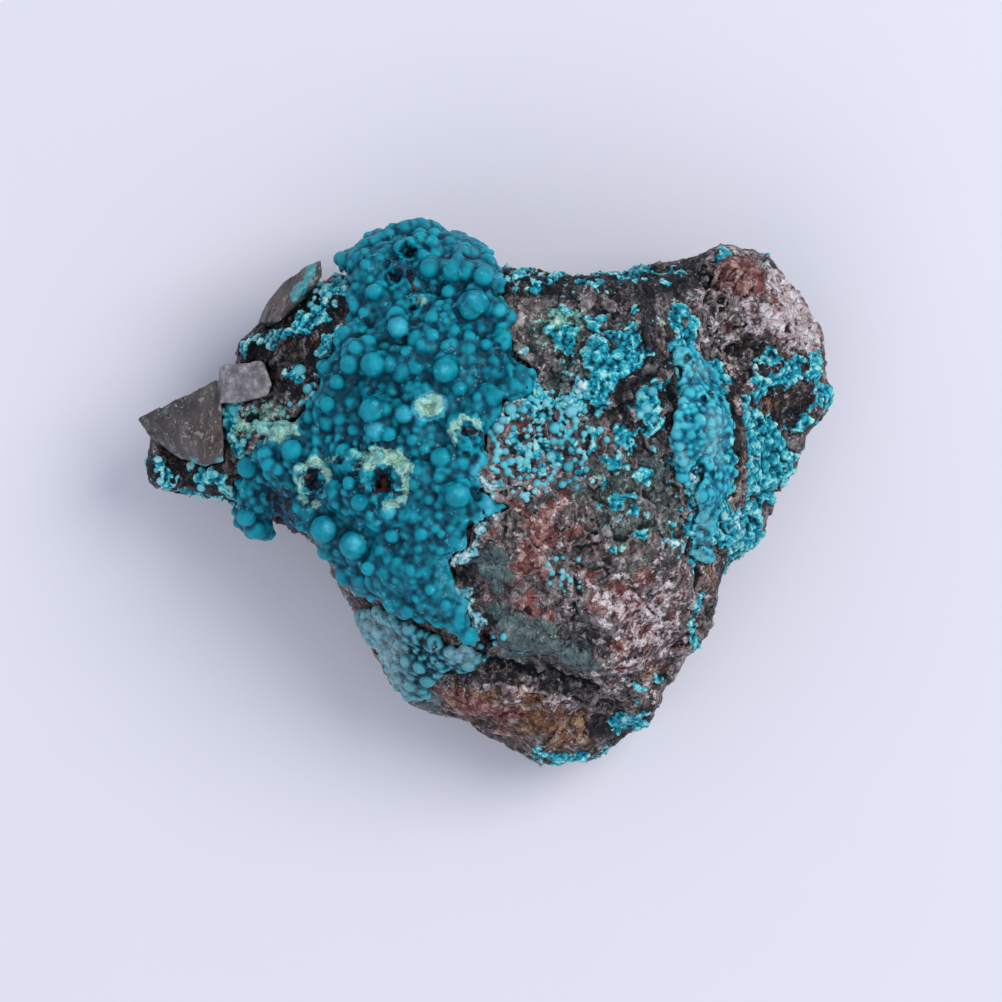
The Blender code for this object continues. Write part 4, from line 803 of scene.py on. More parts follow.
def noise_field(points, size, seed=0.0):
    """Soft noise, about -0.5 to 0.5."""
    offset = Vector((seed, 1.7 * seed, -0.6 * seed))
    return np.array([noise.noise(Vector(point) / size + offset) for point in points]) * 0.7


def rough_field(points, size, seed=0.0):
    """Noise with finer and finer detail."""
    total = noise_field(points, size, seed)
    total += 0.5 * noise_field(points, size / 2.1, seed + 3.1)
    return total + 0.25 * noise_field(points, size / 4.3, seed + 7.7)


def chip_field(points, size, seed):
    """Offsets of a broken surface: one tilted flat for each cell, from about -1 to 1."""
    offset = Vector((seed, 2.3 * seed, 0.7 * seed))
    ones = Vector((1.0, 1.0, 1.0))
    values = np.empty(len(points))
    for index, point in enumerate(points):
        scaled = Vector(point) / size + offset
        cell = noise.voronoi(scaled)[1][0]
        tilt = noise.cell_vector(cell * CELL_MIX) * 2.0 - ones
        values[index] = (scaled - cell).dot(tilt) * CHIP_TILT
    return np.clip(values, -1.0, 1.0)


def ball_field(points, size, seed):
    """Height over a surface packed with little domes, 0 to 1."""
    offset = Vector((seed, -seed, 0.4 * seed))
    values = np.empty(len(points))
    for index, point in enumerate(points):
        values[index] = noise.voronoi(Vector(point) / size + offset)[0][0]
    return np.sqrt(np.clip(1.0 - (values / DOME_REACH) ** 2, 0.0, 1.0))


def warped_plan(points, size, reach):
    """Plan positions pushed about by noise, so that zones get ragged edges."""
    x = points[:, 0] + reach * rough_field(points, size, 11.0)
    y = points[:, 1] + reach * rough_field(points, size, 23.0)
    return x, y


# --- the host rock ------------------------------------------------------------------------


def refine_top(obj):
    """Splits the faces that look up, so that the top holds finer detail than the underside."""
    body = bmesh.new()
    body.from_mesh(obj.data)
    edges = set()
    for face in body.faces:
        centre = face.calc_center_median() / MM
        if face.normal.z > FINE_SLOPE and centre.z > FINE_HEIGHT:
            edges.update(face.edges)
    bmesh.ops.subdivide_edges(body, edges=list(edges), cuts=1, use_grid_fill=True)
    body.to_mesh(obj.data)
    body.free()


def meet_crust(points):
    """How far the rock rises: under zero below the main crust, over zero beside its edge."""
    tree = tree_of(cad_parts["chrysocolla_crust"])
    reach = CRUST_REACH * MM
    values = np.zeros(len(points))
    for index, point in enumerate(points):
        place = (Vector(point) + SHIFT) * MM
        _, _, _, distance = tree.find_nearest(place, reach)
        if distance is None:
            continue
        under = tree.ray_cast(place, UP)[0] is not None
        values[index] = UNDER_CRUST if under else BESIDE_CRUST * (1.0 - distance / reach)
    return values


def layer_field(points, normals):
    """Thin sheets of rock that stand on edge in some places, as steps of about -0.5 to 0.5."""
    bend = rough_field(points, BEND_SIZE, 5.0)
    total = np.zeros(len(points))
    for angle, pitch, corners in LAYERED:
        across = points[:, 0] * math.cos(angle) + points[:, 1] * math.sin(angle)
        steps = (across + SHEET_LEAN * points[:, 2] + SHEET_BEND * bend) / pitch
        inside = soft_step(inside_distance(points[:, 0], points[:, 1], corners), 1.0)
        total += inside * ((steps - np.floor(steps)) - 0.5)
    side = ramp(1.0 - np.abs(normals[:, 2]), *LEVEL_SLOPE)
    level = (points[:, 2] + LEVEL_BEND * bend + LEVEL_LEAN * points[:, 0]) / LEVEL_PITCH
    return total + side * LEVEL_DEPTH * (0.5 - (level - np.floor(level)))


def mineral_masks(points, top):
    """How much of each mineral there is at each point, 0 to 1."""
    x, y = warped_plan(points, *ZONE_WARP)
    masks = {}
    for name, rows in ZONES.items():
        spread, strength = ZONE_MIX.get(name, (1.0, 1.0))
        masks[name] = strength * zone_value(x, y, rows, spread) * top
    side = 1.0 - top
    for seed, (name, (level, spread, size)) in enumerate(SIDE_MINERALS.items()):
        cloud = level + spread * rough_field(points, size, 31.0 + 4.3 * seed)
        masks[name] = np.clip(masks[name] + side * cloud, 0.0, 1.0)
    return masks


def broken_relief(points, normals, masks, top):
    """Offsets of the broken stone: chips, fine grain and sheets on edge, calmer in places."""
    calm = 1.0 - GLASSY_CALM * masks["glassy"] - BROWN_CALM * masks["brown"] * top
    calm *= ramp(points[:, 2], *FOOT)
    offset = np.zeros(len(points))
    for seed, (size, depth) in enumerate(ROCK_DETAIL):
        offset += depth * chip_field(points, size, 2.0 + 5.0 * seed)
    offset += GRAIN_DEPTH * rough_field(points, GRAIN_SIZE, 3.0)
    offset += SHEET_DEPTH * layer_field(points, normals)
    busy = ramp(noise_field(points, QUIET_SIZE, 9.0), -0.25, 0.15)
    return offset * calm * (QUIET_SHARE + (1.0 - QUIET_SHARE) * busy)


def copper_relief(points, masks, x, y, top):
    """How high the teal mineral and its fringe stand. The teal mask is made to match."""
    teal = ramp(masks["teal"] + TEAL_CLOUD * rough_field(points, 1.5, 3.0), *TEAL_EDGE)
    teal *= 1.0 - ramp(zone_value(x, y, BARE_ROCK) * top, 0.3, 0.7)
    masks["teal"] = TEAL_FLOOR + TEAL_RANGE * teal
    lumps = sum(height * ball_field(points, size, seed) for size, height, seed in TEAL_LUMPS)
    fringe = FRINGE_HEIGHT * masks["fringe"] * ball_field(points, FRINGE_SIZE, 2.0) * top
    return teal * (lumps - TEAL_SINK) + fringe


def pits_and_ridges(x, y):
    """Named hollows, ridges and cracks, each with a rounded profile."""
    total = np.zeros(len(x))
    for px, py, radius, deep in PITS:
        total -= deep * np.exp(-((np.hypot(x - px, y - py) / radius) ** 2))
    for rise, half_width, line in RIDGES:
        total += rise * np.exp(-((line_distance(x, y, line) / half_width) ** 2))
    return total


def store_masks(rock, masks, top):
    """Stores the minerals and the crevices for the material to read."""
    mesh = rock.data
    points = points_of(mesh)
    relief = stand_out(rock, points, normals_of(mesh), CAVITY_STEPS, CAVITY_WEIGHTS)
    channels = {**masks, "cavity": 1.0 - relief, "top": top, "one": 1.0}
    for attribute, names in ROCK_CHANNELS.items():
        store_colour(mesh, attribute, [channels[name] for name in names])


def build_rock():
    rock = copy_of_node("matrix", "rock_surface")
    remesh(rock, ROCK_VOXEL)
    smooth(rock, ROCK_SMOOTHING)
    refine_top(rock)
    mesh = rock.data
    points = points_of(mesh)
    normals = normals_of(mesh)
    top = ramp(normals[:, 2], *TOP_SLOPE) * ramp(points[:, 2], *TOP_HEIGHTS)
    masks = mineral_masks(points, top)
    offset = broken_relief(points, normals, masks, top)
    x, y = warped_plan(points, *RELIEF_WARP)
    offset += copper_relief(points, masks, x, y, top)
    offset += (pits_and_ridges(x, y) + meet_crust(points)) * top
    move_points(mesh, points + normals * offset[:, None])
    shade_smooth(mesh)
    store_masks(rock, masks, top)
    mesh.materials.append(rock_material())
    adopt(rock, ("matrix",))


# --- lumps and crusts ---------------------------------------------------------------------


def surface_points(mesh, count, random):
    """Seeded points spread evenly over a mesh, with the normal of the face at each."""
    mesh.calc_loop_triangles()
    corners = np.empty(len(mesh.loop_triangles) * 3, np.int32)
    mesh.loop_triangles.foreach_get("vertices", corners)
    points = points_of(mesh)[corners.reshape(-1, 3)]
    across = np.cross(points[:, 1] - points[:, 0], points[:, 2] - points[:, 0])
    area = np.linalg.norm(across, axis=1)
    chosen = np.searchsorted(np.cumsum(area) / area.sum(), random.random(count))
    chosen = np.minimum(chosen, len(area) - 1)
    u, v = random.random(count), random.random(count)
    flip = u + v > 1.0
    u, v = np.where(flip, 1.0 - u, u)[:, None], np.where(flip, 1.0 - v, v)[:, None]
    corner = points[chosen]
    spots = corner[:, 0] * (1.0 - u - v) + corner[:, 1] * u + corner[:, 2] * v
    return spots, across[chosen] / area[chosen][:, None]


class Lumps:
    """Balls that keep clear of one another, held in a grid so that neighbours are found fast."""

    def __init__(self, cell=2.0):
        self.cell = cell
        self.grid = {}
        self.rows = []

    def key(self, point):
        return tuple(int(math.floor(c / self.cell)) for c in point)

    def clear(self, point, radius, spacing):
        kx, ky, kz = self.key(point)
        for dx in (-1, 0, 1):
            for dy in (-1, 0, 1):
                for dz in (-1, 0, 1):
                    for other, size in self.grid.get((kx + dx, ky + dy, kz + dz), ()):
                        if (point - other).length < spacing * (radius + size):
                            return False
        return True

    def add(self, point, radius):
        self.grid.setdefault(self.key(point), []).append((point, radius))
        self.rows.append((point, radius))


def unit_ball(divisions):
    """Points and triangles of a ball of radius one."""
    body = bmesh.new()
    bmesh.ops.create_icosphere(body, subdivisions=divisions, radius=1.0)
    points = np.array([vertex.co for vertex in body.verts])
    faces = np.array([[vertex.index for vertex in face.verts] for face in body.faces])
    body.free()
    return points, faces


def mesh_of_balls(rows, name="balls"):
    """One mesh with a ball for each row of centre and radius."""
    shapes = {2: unit_ball(2), 3: unit_ball(3)}
    points, faces = [], []
    total = 0
    for centre, radius in rows:
        shape, triangles = shapes[3 if radius > FINE_BALL else 2]
        points.append(shape * radius + np.array(centre))
        faces.append(triangles + total)
        total += len(shape)
    points = np.concatenate(points)
    faces = np.concatenate(faces)
    mesh = bpy.data.meshes.new(name)
    mesh.vertices.add(len(points))
    mesh.loops.add(faces.size)
    mesh.polygons.add(len(faces))
    mesh.loops.foreach_set("vertex_index", faces.ravel().astype(np.int32))
    starts = np.arange(0, faces.size, 3, dtype=np.int32)
    mesh.polygons.foreach_set("loop_start", starts)
    mesh.update(calc_edges=True)
    move_points(mesh, points)
    return mesh


def add_balls(obj, rows):
    """Adds balls to an object's mesh, to be fused with it by a later remesh."""
    balls = mesh_of_balls(rows)
    body = bmesh.new()
    body.from_mesh(obj.data)
    body.from_mesh(balls)
    body.to_mesh(obj.data)
    body.free()
    bpy.data.meshes.remove(balls)


def seat(tree, x, y):
    """Point and normal of the topmost surface at a plan position, or None."""
    hit, normal, _, _ = tree.ray_cast((Vector((x, y, SKY_HEIGHT)) + SHIFT) * MM, -UP)
    if hit is None:
        return None
    return hit / MM - SHIFT, normal


def faces_rock(rock_tree, point, normal):
    """True where a crust's surface is its hidden side, close over the rock and turned to it."""
    place = (point + SHIFT) * MM
    hit, _, _, _ = rock_tree.find_nearest(place, HIDDEN_REACH * MM)
    return hit is not None and normal.dot(hit - place) > 0.0


def named_lumps(tree, rows, sink):
    """Named lumps, each sunk into the surface under it by a share of its radius."""
    lumps = Lumps()
    for x, y, radius in rows:
        found = seat(tree, x, y)
        if found:
            point, normal = found
            lumps.add(point - normal * (radius * sink), radius)
    return lumps


def ring_clearings(tree):
    """Places that the seeded lumps keep off, so that the rings of the main crust show."""
    clearings = Lumps(4.0)
    for x, y, radius, _ in RINGS:
        found = seat(tree, x, y)
        if found:
            clearings.add(found[0], radius)
    return clearings


def grow_crust(obj, named, rock_tree, radii, count, spacing, seed, sinks):
    """Fuses named lumps and seeded small ones onto a crust."""
    tree = tree_of(obj)
    random = np.random.default_rng(seed)
    lumps = named_lumps(tree, named, sinks[0])
    clearings = ring_clearings(tree)
    spots, facing = surface_points(obj.data, count, random)
    sizes = radii[0] + (radii[1] - radii[0]) * random.random(count) ** 1.5
    depths = sinks[1] + 0.25 * random.random(count)
    calm = zone_value(spots[:, 0], spots[:, 1], CALM_CRUST)
    calm = CALM_SHRINK * np.maximum(calm, ramp(facing[:, 2], *CALM_SLOPE))
    for spot, normal, radius, depth, level in zip(spots, facing, sizes, depths, calm):
        point, normal = Vector(spot), Vector(normal)
        if faces_rock(rock_tree, point, normal):
            continue
        radius *= 1.0 - level
        centre = point - normal * (radius * (depth + level))
        if lumps.clear(centre, radius, spacing) and clearings.clear(centre, radius, SPACING):
            lumps.add(centre, float(radius))
    add_balls(obj, lumps.rows)


def raise_domes(obj, broad, seed):
    """Packs a crust's surface with low domes of two sizes, over broad lobes."""
    points = points_of(obj.data)
    domes = 0.7 * ball_field(points, 1.15, seed) + 0.3 * ball_field(points, 0.6, seed + 1.0)
    offset = DOME_HEIGHT * (domes - 0.5) + 0.25 * noise_field(points, 2.5, seed)
    calm = zone_value(points[:, 0], points[:, 1], CALM_CRUST)
    offset += broad * (1.0 - 0.7 * calm) * (ball_field(points, LOBE_SIZE, seed + 5.0) - 0.6)
    move_points(obj.data, points + normals_of(obj.data) * offset[:, None])


def raise_rings(obj):
    """Beads of small balls round each hollow of the main crust."""
    tree = tree_of(obj)
    random = np.random.default_rng(5)
    rows = []
    for x, y, radius, hole in RINGS:
        for _ in range(RING_BEADS):
            angle = math.tau * float(random.random())
            reach = (radius + hole) / 2.0 + 0.45 * (radius - hole) * float(random.normal())
            found = seat(tree, x + reach * math.cos(angle), y + reach * math.sin(angle))
            if found:
                size = float(random.uniform(*RING_BEAD_SIZE))
                rows.append((found[0] + found[1] * 0.05, size))
    add_balls(obj, rows)


def drop_hidden_faces(obj, rock_tree):
    """Takes away the side of a crust that lies inside the rock or against it."""
    body = bmesh.new()
    body.from_mesh(obj.data)
    spare = []
    for face in body.faces:
        place = face.calc_center_median()
        hit, normal, _, distance = rock_tree.find_nearest(place, BURIED_REACH * MM)
        if hit is None:
            continue
        buried = (place - hit).dot(normal) < -BURIED * MM
        turned = face.normal.dot(hit - place) > TURNED * distance
        if buried or (turned and distance < TURNED_REACH * MM):
            spare.append(face)
    bmesh.ops.delete(body, geom=spare, context="FACES")
    body.to_mesh(obj.data)
    body.free()


def store_relief(obj, tints):
    """Stores how far each point stands out from the lumps round it, with colour tints."""
    mesh = obj.data
    points = points_of(mesh)
    relief = stand_out(obj, points, normals_of(mesh), RELIEF_STEPS, RELIEF_WEIGHTS)
    store_colour(mesh, "relief", [relief] + tints(points))


def crust_tints(points):
    """Pale blue tops, pale green rings and dark hollows of the main crust."""
    x, y = warped_plan(points, *TINT_WARP)
    pale = np.zeros(len(points))
    for cx, cy, radius in PALE_TOPS:
        distance = np.hypot(x - cx, y - cy) / radius
        pale = np.maximum(pale, 0.8 * (1.0 - ramp(distance, 0.1, 1.1)))
    pale = np.maximum(pale, zone_value(x, y, PALE_LINES))
    green = zone_value(x, y, (GREEN_DISC,))
    x, y = warped_plan(points, *RIM_WARP)
    green = np.maximum(green, zone_value(x, y, GREEN_ON_CRUST))
    dark = zone_value(x, y, DARK_ON_CRUST)
    return [pale, green, dark]


def open_holes(points):
    """Sinks the openings of the main crust into it."""
    bent_x, bent_y = warped_plan(points, *HOLE_WARP)
    for x, y, radius, deep in CRUST_HOLES:
        distance = np.hypot(bent_x - x, bent_y - y) / radius
        points[:, 2] -= deep * (1.0 - ramp(distance, 0.55, 1.1))


def finish_crust(crust, node, rock_tree, tints, colours):
    """Drops a crust's hidden side, and gives it its colours and its place in the frame."""
    drop_hidden_faces(crust, rock_tree)
    shade_smooth(crust.data)
    store_relief(crust, tints)
    thin(crust)
    crust.data.materials.append(crust_material(crust.name + "_colour", colours))
    adopt(crust, (node,))


def build_crust(rock_tree):
    crust = copy_of_node("chrysocolla_crust", "crust_surface")
    remesh(crust, GROWTH_VOXEL)
    smooth(crust, CRUST_SMOOTHING)
    raise_domes(crust, LOBE_HEIGHT, 3.0)
    grow_crust(crust, LUMPS + LOW_LUMPS, rock_tree, **CRUST_LUMPS)
    raise_rings(crust)
    remesh(crust, CRUST_VOXEL)
    points = points_of(crust.data)
    uneven = UNEVEN_DEPTH * rough_field(points, UNEVEN_SIZE, 4.0)
    points += normals_of(crust.data) * uneven[:, None]
    open_holes(points)
    move_points(crust.data, points)
    smooth(crust, LUMP_SMOOTHING)
    finish_crust(crust, "chrysocolla_crust", rock_tree, crust_tints,
                 CRUST_COLOURS)


def small_crust_tints(pale_rows, hollow_level):
    """Makes the tints of a small crust: pale where its zones say, dark hollows at random."""

    def tints(points):
        x, y = warped_plan(points, *SMALL_CRUST_WARP)
        hollow = hollow_level + 0.6 * rough_field(points, 2.2, 6.0)
        return [zone_value(x, y, pale_rows, 2.0), 0.0, np.clip(hollow, 0.0, 1.0)]

    return tints


def sink_gaps(obj, deep, seed):
    """Lowers a crust into the rock here and there, so that it ends raggedly and has gaps."""
    points = points_of(obj.data)
    flat = points * np.array((1.0, 1.0, 0.0))
    points[:, 2] -= deep * ramp(rough_field(flat, GAP_SIZE, seed), 0.08, 0.3)
    move_points(obj.data, points)


def build_small_crust(row, rock_tree):
    """A thinner crust of small lumps, with gaps where it sinks into the rock."""
    node, name, slot, radii, gap_depth, seed, colours, pale_rows, hollow_level = row
    before, after = SMALL_CRUST_SMOOTHING
    crust = copy_of_node(node, name)
    remesh(crust, GROWTH_VOXEL)
    smooth(crust, before)
    raise_domes(crust, 0.0, float(seed))
    grow_crust(crust, (), rock_tree, radii=radii, seed=seed, **SMALL_CRUST_LUMPS)
    sink_gaps(crust, gap_depth, float(seed))
    remesh(crust, CRUST_VOXEL)
    smooth(crust, after)
    tints = small_crust_tints(pale_rows, hollow_level)
    finish_crust(crust, node, rock_tree, tints, colours)


def scatter_beads(lumps, tree, random, field):
    """Adds seeded beads inside a field's corners, each clear of the others."""
    corners, count, smallest, largest = field
    low, high = np.array(corners).min(axis=0), np.array(corners).max(axis=0)
    for _ in range(count):
        x, y = random.uniform(low, high)
        radius = float(random.uniform(smallest, largest))
        if inside_distance(np.array([x]), np.array([y]), corners)[0] < 0.0:
            continue
        found = seat(tree, x, y)
        if found and lumps.clear(found[0], radius, SPACING):
            lumps.add(found[0] - found[1] * (0.25 * radius), radius)


def build_beads(rock):
    """Small round lumps scattered over the rock, each seated on its surface."""
    tree = tree_of(rock)
    random = np.random.default_rng(17)
    lumps = Lumps(1.0)
    for x, y, radius in BEADS:
        found = seat(tree, x, y)
        if found:
            radius *= BEAD_SCALE
            lumps.add(found[0] - found[1] * (0.15 * radius), radius)
    for field in BEAD_FIELDS:
        scatter_beads(lumps, tree, random, field)
    beads = add_object("small_beads", mesh_of_balls(lumps.rows, "beads"))
    remesh(beads, BEAD_VOXEL)
    smooth(beads, 1)
    mesh = beads.data
    shade_smooth(mesh)
    # Painted light and shade: each bead is coloured lighter on its upper side and darker on its lower
    # sides, by how far each point faces up.
    painted_top_light = 0.6 + 0.35 * normals_of(mesh)[:, 2]
    tone = np.clip(0.35 + 1.4 * noise_field(points_of(mesh), 1.6, 12.0), 0.0, 1.0)
    store_colour(mesh, "relief", [painted_top_light, tone, 0.0, 0.0])
    mesh.materials.append(crust_material("bead_colour", BEAD_COLOURS))
    adopt(beads)


# --- the crystals -------------------------------------------------------------------------


def build_crystal(node, name, zones):
    """A quartz crystal with chipped, slightly rough faces."""
    crystal = copy_of_node(node, name)
    remesh(crystal, CRYSTAL_VOXEL)
    smooth(crystal, 1)
    mesh = crystal.data
    points = points_of(mesh)
    offset = 0.1 * chip_field(points, 1.9, 4.0) + 0.05 * rough_field(points, 0.8, 2.0)
    move_points(mesh, points + normals_of(mesh) * offset[:, None])
    shade_smooth(mesh)
    x, y = warped_plan(points, *CRYSTAL_WARP)
    store_colour(mesh, "crystal", [zone_value(x, y, rows) for rows in zones] + [1.0])
    mesh.materials.append(crystal_material(name + "_colour"))
    adopt(crystal, (node,))


# --- materials ----------------------------------------------------------------------------


def linear(colour):
    """A screen colour, 0 to 255, as the renderer's own."""
    shares = [channel / 255.0 for channel in colour]
    values = [s / 12.92 if s <= 0.04045 else ((s + 0.055) / 1.055) ** 2.4 for s in shares]
    return (*values, 1.0)


def feed(tree, socket, value):
    """Links a socket to another, or sets its value."""
    if isinstance(value, bpy.types.NodeSocket):
        tree.links.new(value, socket)
    else:
        socket.default_value = value


def add_node(tree, kind, inputs=(), **settings):
    """Adds a node. Each input is a socket to link, or a value to set."""
    node = tree.nodes.new(kind)
    for name, value in settings.items():
        setattr(node, name, value)
    for name, value in dict(inputs).items():
        feed(tree, node.inputs[name], value)
    return node


def math_node(tree, operation, first, second=0.0, clamp=False):
    settings = {"operation": operation, "use_clamp": clamp}
    return add_node(tree, "ShaderNodeMath", {0: first, 1: second}, **settings).outputs[0]


def vector_node(tree, operation, first, second):
    """Vector arithmetic. A scale takes a number, anything else a vector."""
    inputs = {0: first, "Scale" if operation == "SCALE" else 1: second}
    return add_node(tree, "ShaderNodeVectorMath", inputs, operation=operation).outputs[0]


def soft_noise(tree, place, scale, detail, **settings):
    """A noise texture, with its further settings by the names of its inputs."""
    inputs = {"Vector": place, "Scale": scale, "Detail": detail, **settings}
    return add_node(tree, "ShaderNodeTexNoise", inputs).outputs


def split_colour(tree, colour):
    return add_node(tree, "ShaderNodeSeparateColor", {"Color": colour}).outputs


def stored_channels(tree, name):
    """The four numbers that each vertex holds under a name."""
    source = add_node(tree, "ShaderNodeAttribute", attribute_name=name).outputs
    return [*split_colour(tree, source["Color"]), source["Alpha"]]


def mix_colour(tree, factor, first, second):
    inputs = {0: factor, 6: first, 7: second}
    return add_node(tree, "ShaderNodeMix", inputs, data_type="RGBA").outputs[2]


def tint_over(tree, colour, mask, amount, tint):
    """Lays a screen colour over another where a mask says, by this amount at most."""
    return mix_colour(tree, math_node(tree, "MULTIPLY", mask, amount), colour, linear(tint))


def colour_ramp(tree, factor, stops):
    made = add_node(tree, "ShaderNodeValToRGB", {"Fac": factor})
    elements = made.color_ramp.elements
    while len(elements) < len(stops):
        elements.new(0.5)
    for element, (position, colour) in zip(elements, stops):
        element.position = position
        element.color = linear(colour)
    return made.outputs["Color"]


def new_group(name, inputs, outputs):
    """A node group with these float inputs, and outputs of the kinds given."""
    group = bpy.data.node_groups.new(name, "ShaderNodeTree")
    for label, value in inputs.items():
        socket = group.interface.new_socket(label, in_out="INPUT", socket_type="NodeSocketFloat")
        socket.default_value = value
    for label in outputs:
        group.interface.new_socket(label, in_out="OUTPUT", socket_type="NodeSocketFloat")
    return group, group.nodes.new("NodeGroupInput"), group.nodes.new("NodeGroupOutput")


def grain_group():
    """Random grains at two sizes, a cloud, cracks, streaks and six ragged noises, all 0 to 1."""
    patches = [f"Patch {letter}" for letter in "ABCDEF"]
    labels = ("Fine", "Medium", "Cloud", "Crack", "Streak", *patches)
    tree, _, out = new_group("Mineral grain", {}, labels)
    place = add_node(tree, "ShaderNodeTexCoord").outputs["Object"]
    place = vector_node(tree, "SCALE", place, 1.0 / MM)
    drift = vector_node(tree, "SCALE", soft_noise(tree, place, 0.9, 6.0)["Color"], 1.6)
    bent = vector_node(tree, "ADD", place, drift)
    made = {}
    for label, scale in (("Fine", 3.4), ("Medium", CRACK_SCALE)):
        cells = add_node(tree, "ShaderNodeTexVoronoi", {"Vector": bent, "Scale": scale})
        made[label] = split_colour(tree, cells.outputs["Color"])[0]
    inputs = {"Vector": bent, "Scale": CRACK_SCALE}
    edges = add_node(tree, "ShaderNodeTexVoronoi", inputs, feature="DISTANCE_TO_EDGE")
    made["Crack"] = span(tree, edges.outputs["Distance"], 0.0, 0.07, 1.0, 0.0)
    drawn = vector_node(tree, "MULTIPLY", bent, STREAK_STRETCH)
    made["Streak"] = soft_noise(tree, drawn, 1.0, 5.0, Distortion=0.5)["Fac"]
    made["Cloud"] = soft_noise(tree, place, 0.3, 4.0)["Fac"]
    for names, scale, roughness, away in PATCH_NOISES:
        moved = vector_node(tree, "ADD", place, (away, away, away))
        ragged = soft_noise(tree, moved, scale, 8.0, Roughness=roughness)
        for letter, socket in zip(names, split_colour(tree, ragged["Color"])):
            made[f"Patch {letter}"] = socket
    for label, socket in made.items():
        tree.links.new(socket, out.inputs[label])


def edge_group():
    """Turns a soft mask into a ragged, nearly hard-edged one."""
    defaults = {"Mask": 0.0, "Noise": 0.5, "Spread": 1.6, "Hardness": 7.0}
    tree, given, out = new_group("Ragged edge", defaults, ("Mask",))
    centred = math_node(tree, "SUBTRACT", given.outputs["Noise"], 0.5)
    swing = math_node(tree, "MULTIPLY", centred, given.outputs["Spread"])
    total = math_node(tree, "ADD", given.outputs["Mask"], swing)
    total = math_node(tree, "SUBTRACT", total, 0.5)
    hard = math_node(tree, "MULTIPLY", total, given.outputs["Hardness"])
    final = math_node(tree, "ADD", hard, 0.5, clamp=True)
    tree.links.new(final, out.inputs["Mask"])


def group_node(tree, group, inputs=()):
    settings = {"node_tree": bpy.data.node_groups[group]}
    return add_node(tree, "ShaderNodeGroup", inputs, **settings).outputs


def grain_sockets(tree):
    return {socket.name: socket for socket in group_node(tree, "Mineral grain")}


def ragged(tree, mask, noise_socket, spread, hardness):
    """A mask with a ragged edge, drawn by a noise."""
    inputs = {"Mask": mask, "Noise": noise_socket, "Spread": spread, "Hardness": hardness}
    return group_node(tree, "Ragged edge", inputs)[0]


def new_material(name):
    material = bpy.data.materials.new(name)
    material.use_nodes = True
    tree = material.node_tree
    return material, tree, tree.nodes["Principled BSDF"]


def weighted(tree, sources, rows):
    """The sum of some of the sources, each times its weight."""
    total = None
    for name, weight in rows:
        part = math_node(tree, "MULTIPLY", sources[name], weight)
        total = part if total is None else math_node(tree, "ADD", total, part)
    return total


def span(tree, value, low, high, first=0.0, last=1.0):
    """Maps low..high to first..last, and stays inside them."""
    settings = {"Value": value, "From Min": low, "From Max": high, "To Min": first, "To Max": last}
    return add_node(tree, "ShaderNodeMapRange", settings).outputs[0]


def thin_lines(tree, value, rows, colour):
    """Draws a line over a colour wherever a noise passes the level of a row."""
    for level, width, amount, tint in rows:
        away = math_node(tree, "ABSOLUTE", math_node(tree, "SUBTRACT", value, level))
        line = span(tree, away, 0.0, width, 1.0, 0.0)
        colour = tint_over(tree, colour, line, amount, tint)
    return colour


def finish_surface(tree, shader, colour, roughness, specular, height, strength, distance):
    """Joins a colour, a roughness and a bump to a material's shader."""
    tree.links.new(colour, shader.inputs["Base Color"])
    tree.links.new(roughness, shader.inputs["Roughness"])
    shader.inputs["Specular IOR Level"].default_value = specular
    inputs = {"Height": height, "Strength": strength, "Distance": distance * MM}
    bump = add_node(tree, "ShaderNodeBump", inputs)
    tree.links.new(bump.outputs[0], shader.inputs["Normal"])


def rock_layer(tree, sources, row, under, blend):
    """Paints one mineral over the colour and roughness under it."""
    name, noise_name, spread, hardness, rough, stops = row
    mask = ragged(tree, sources[name], sources[noise_name], spread, hardness)
    colour = mix_colour(tree, mask, under[0], colour_ramp(tree, blend, stops))
    inputs = {0: mask, 2: under[1], 3: rough}
    return colour, add_node(tree, "ShaderNodeMix", inputs, data_type="FLOAT").outputs[0]


def blend_of(tree, sources, rows, less):
    return math_node(tree, "SUBTRACT", weighted(tree, sources, rows), less)


def weathering_and_painted_light(tree, sources, colour):
    """Flecks, streaks, cracks and stains over the rock's colour, with painted shade in the crevices
    and a painted highlight on raised points.
    """
    plain = math_node(tree, "ADD", sources["glassy"], sources["black"])
    plain = span(tree, plain, 0.2, 0.9, 0.75, 0.08)
    flecks = span(tree, weighted(tree, sources, FLECK_BLEND), 0.9, 0.98)
    colour = tint_over(tree, colour, flecks, plain, ROCK_FLECK)
    colour = thin_lines(tree, sources["Streak"], STREAK_LINES, colour)
    here = span(tree, sources["Patch E"], 0.42, 0.6)
    crack = math_node(tree, "MULTIPLY", sources["Crack"], here)
    colour = tint_over(tree, colour, crack, 0.85, CRACK_COLOUR)
    stains = span(tree, sources["Patch E"], 0.42, 0.36, 0.0, 0.7)
    colour = mix_colour(tree, stains, colour, linear(STAIN_COLOUR))
    # Painted shade: the rock's crevices are darkened.
    dark = span(tree, sources["cavity"], 0.55, 0.86, 0.0, 0.95)
    colour = mix_colour(tree, dark, colour, linear(ROCK_CREVICE_SHADE))
    # Painted highlight: the raised points are lightened.
    light = span(tree, sources["cavity"], 0.4, 0.12, 0.0, 0.3)
    return tint_over(tree, colour, light, plain, RAISED_HIGHLIGHT_COLOUR)


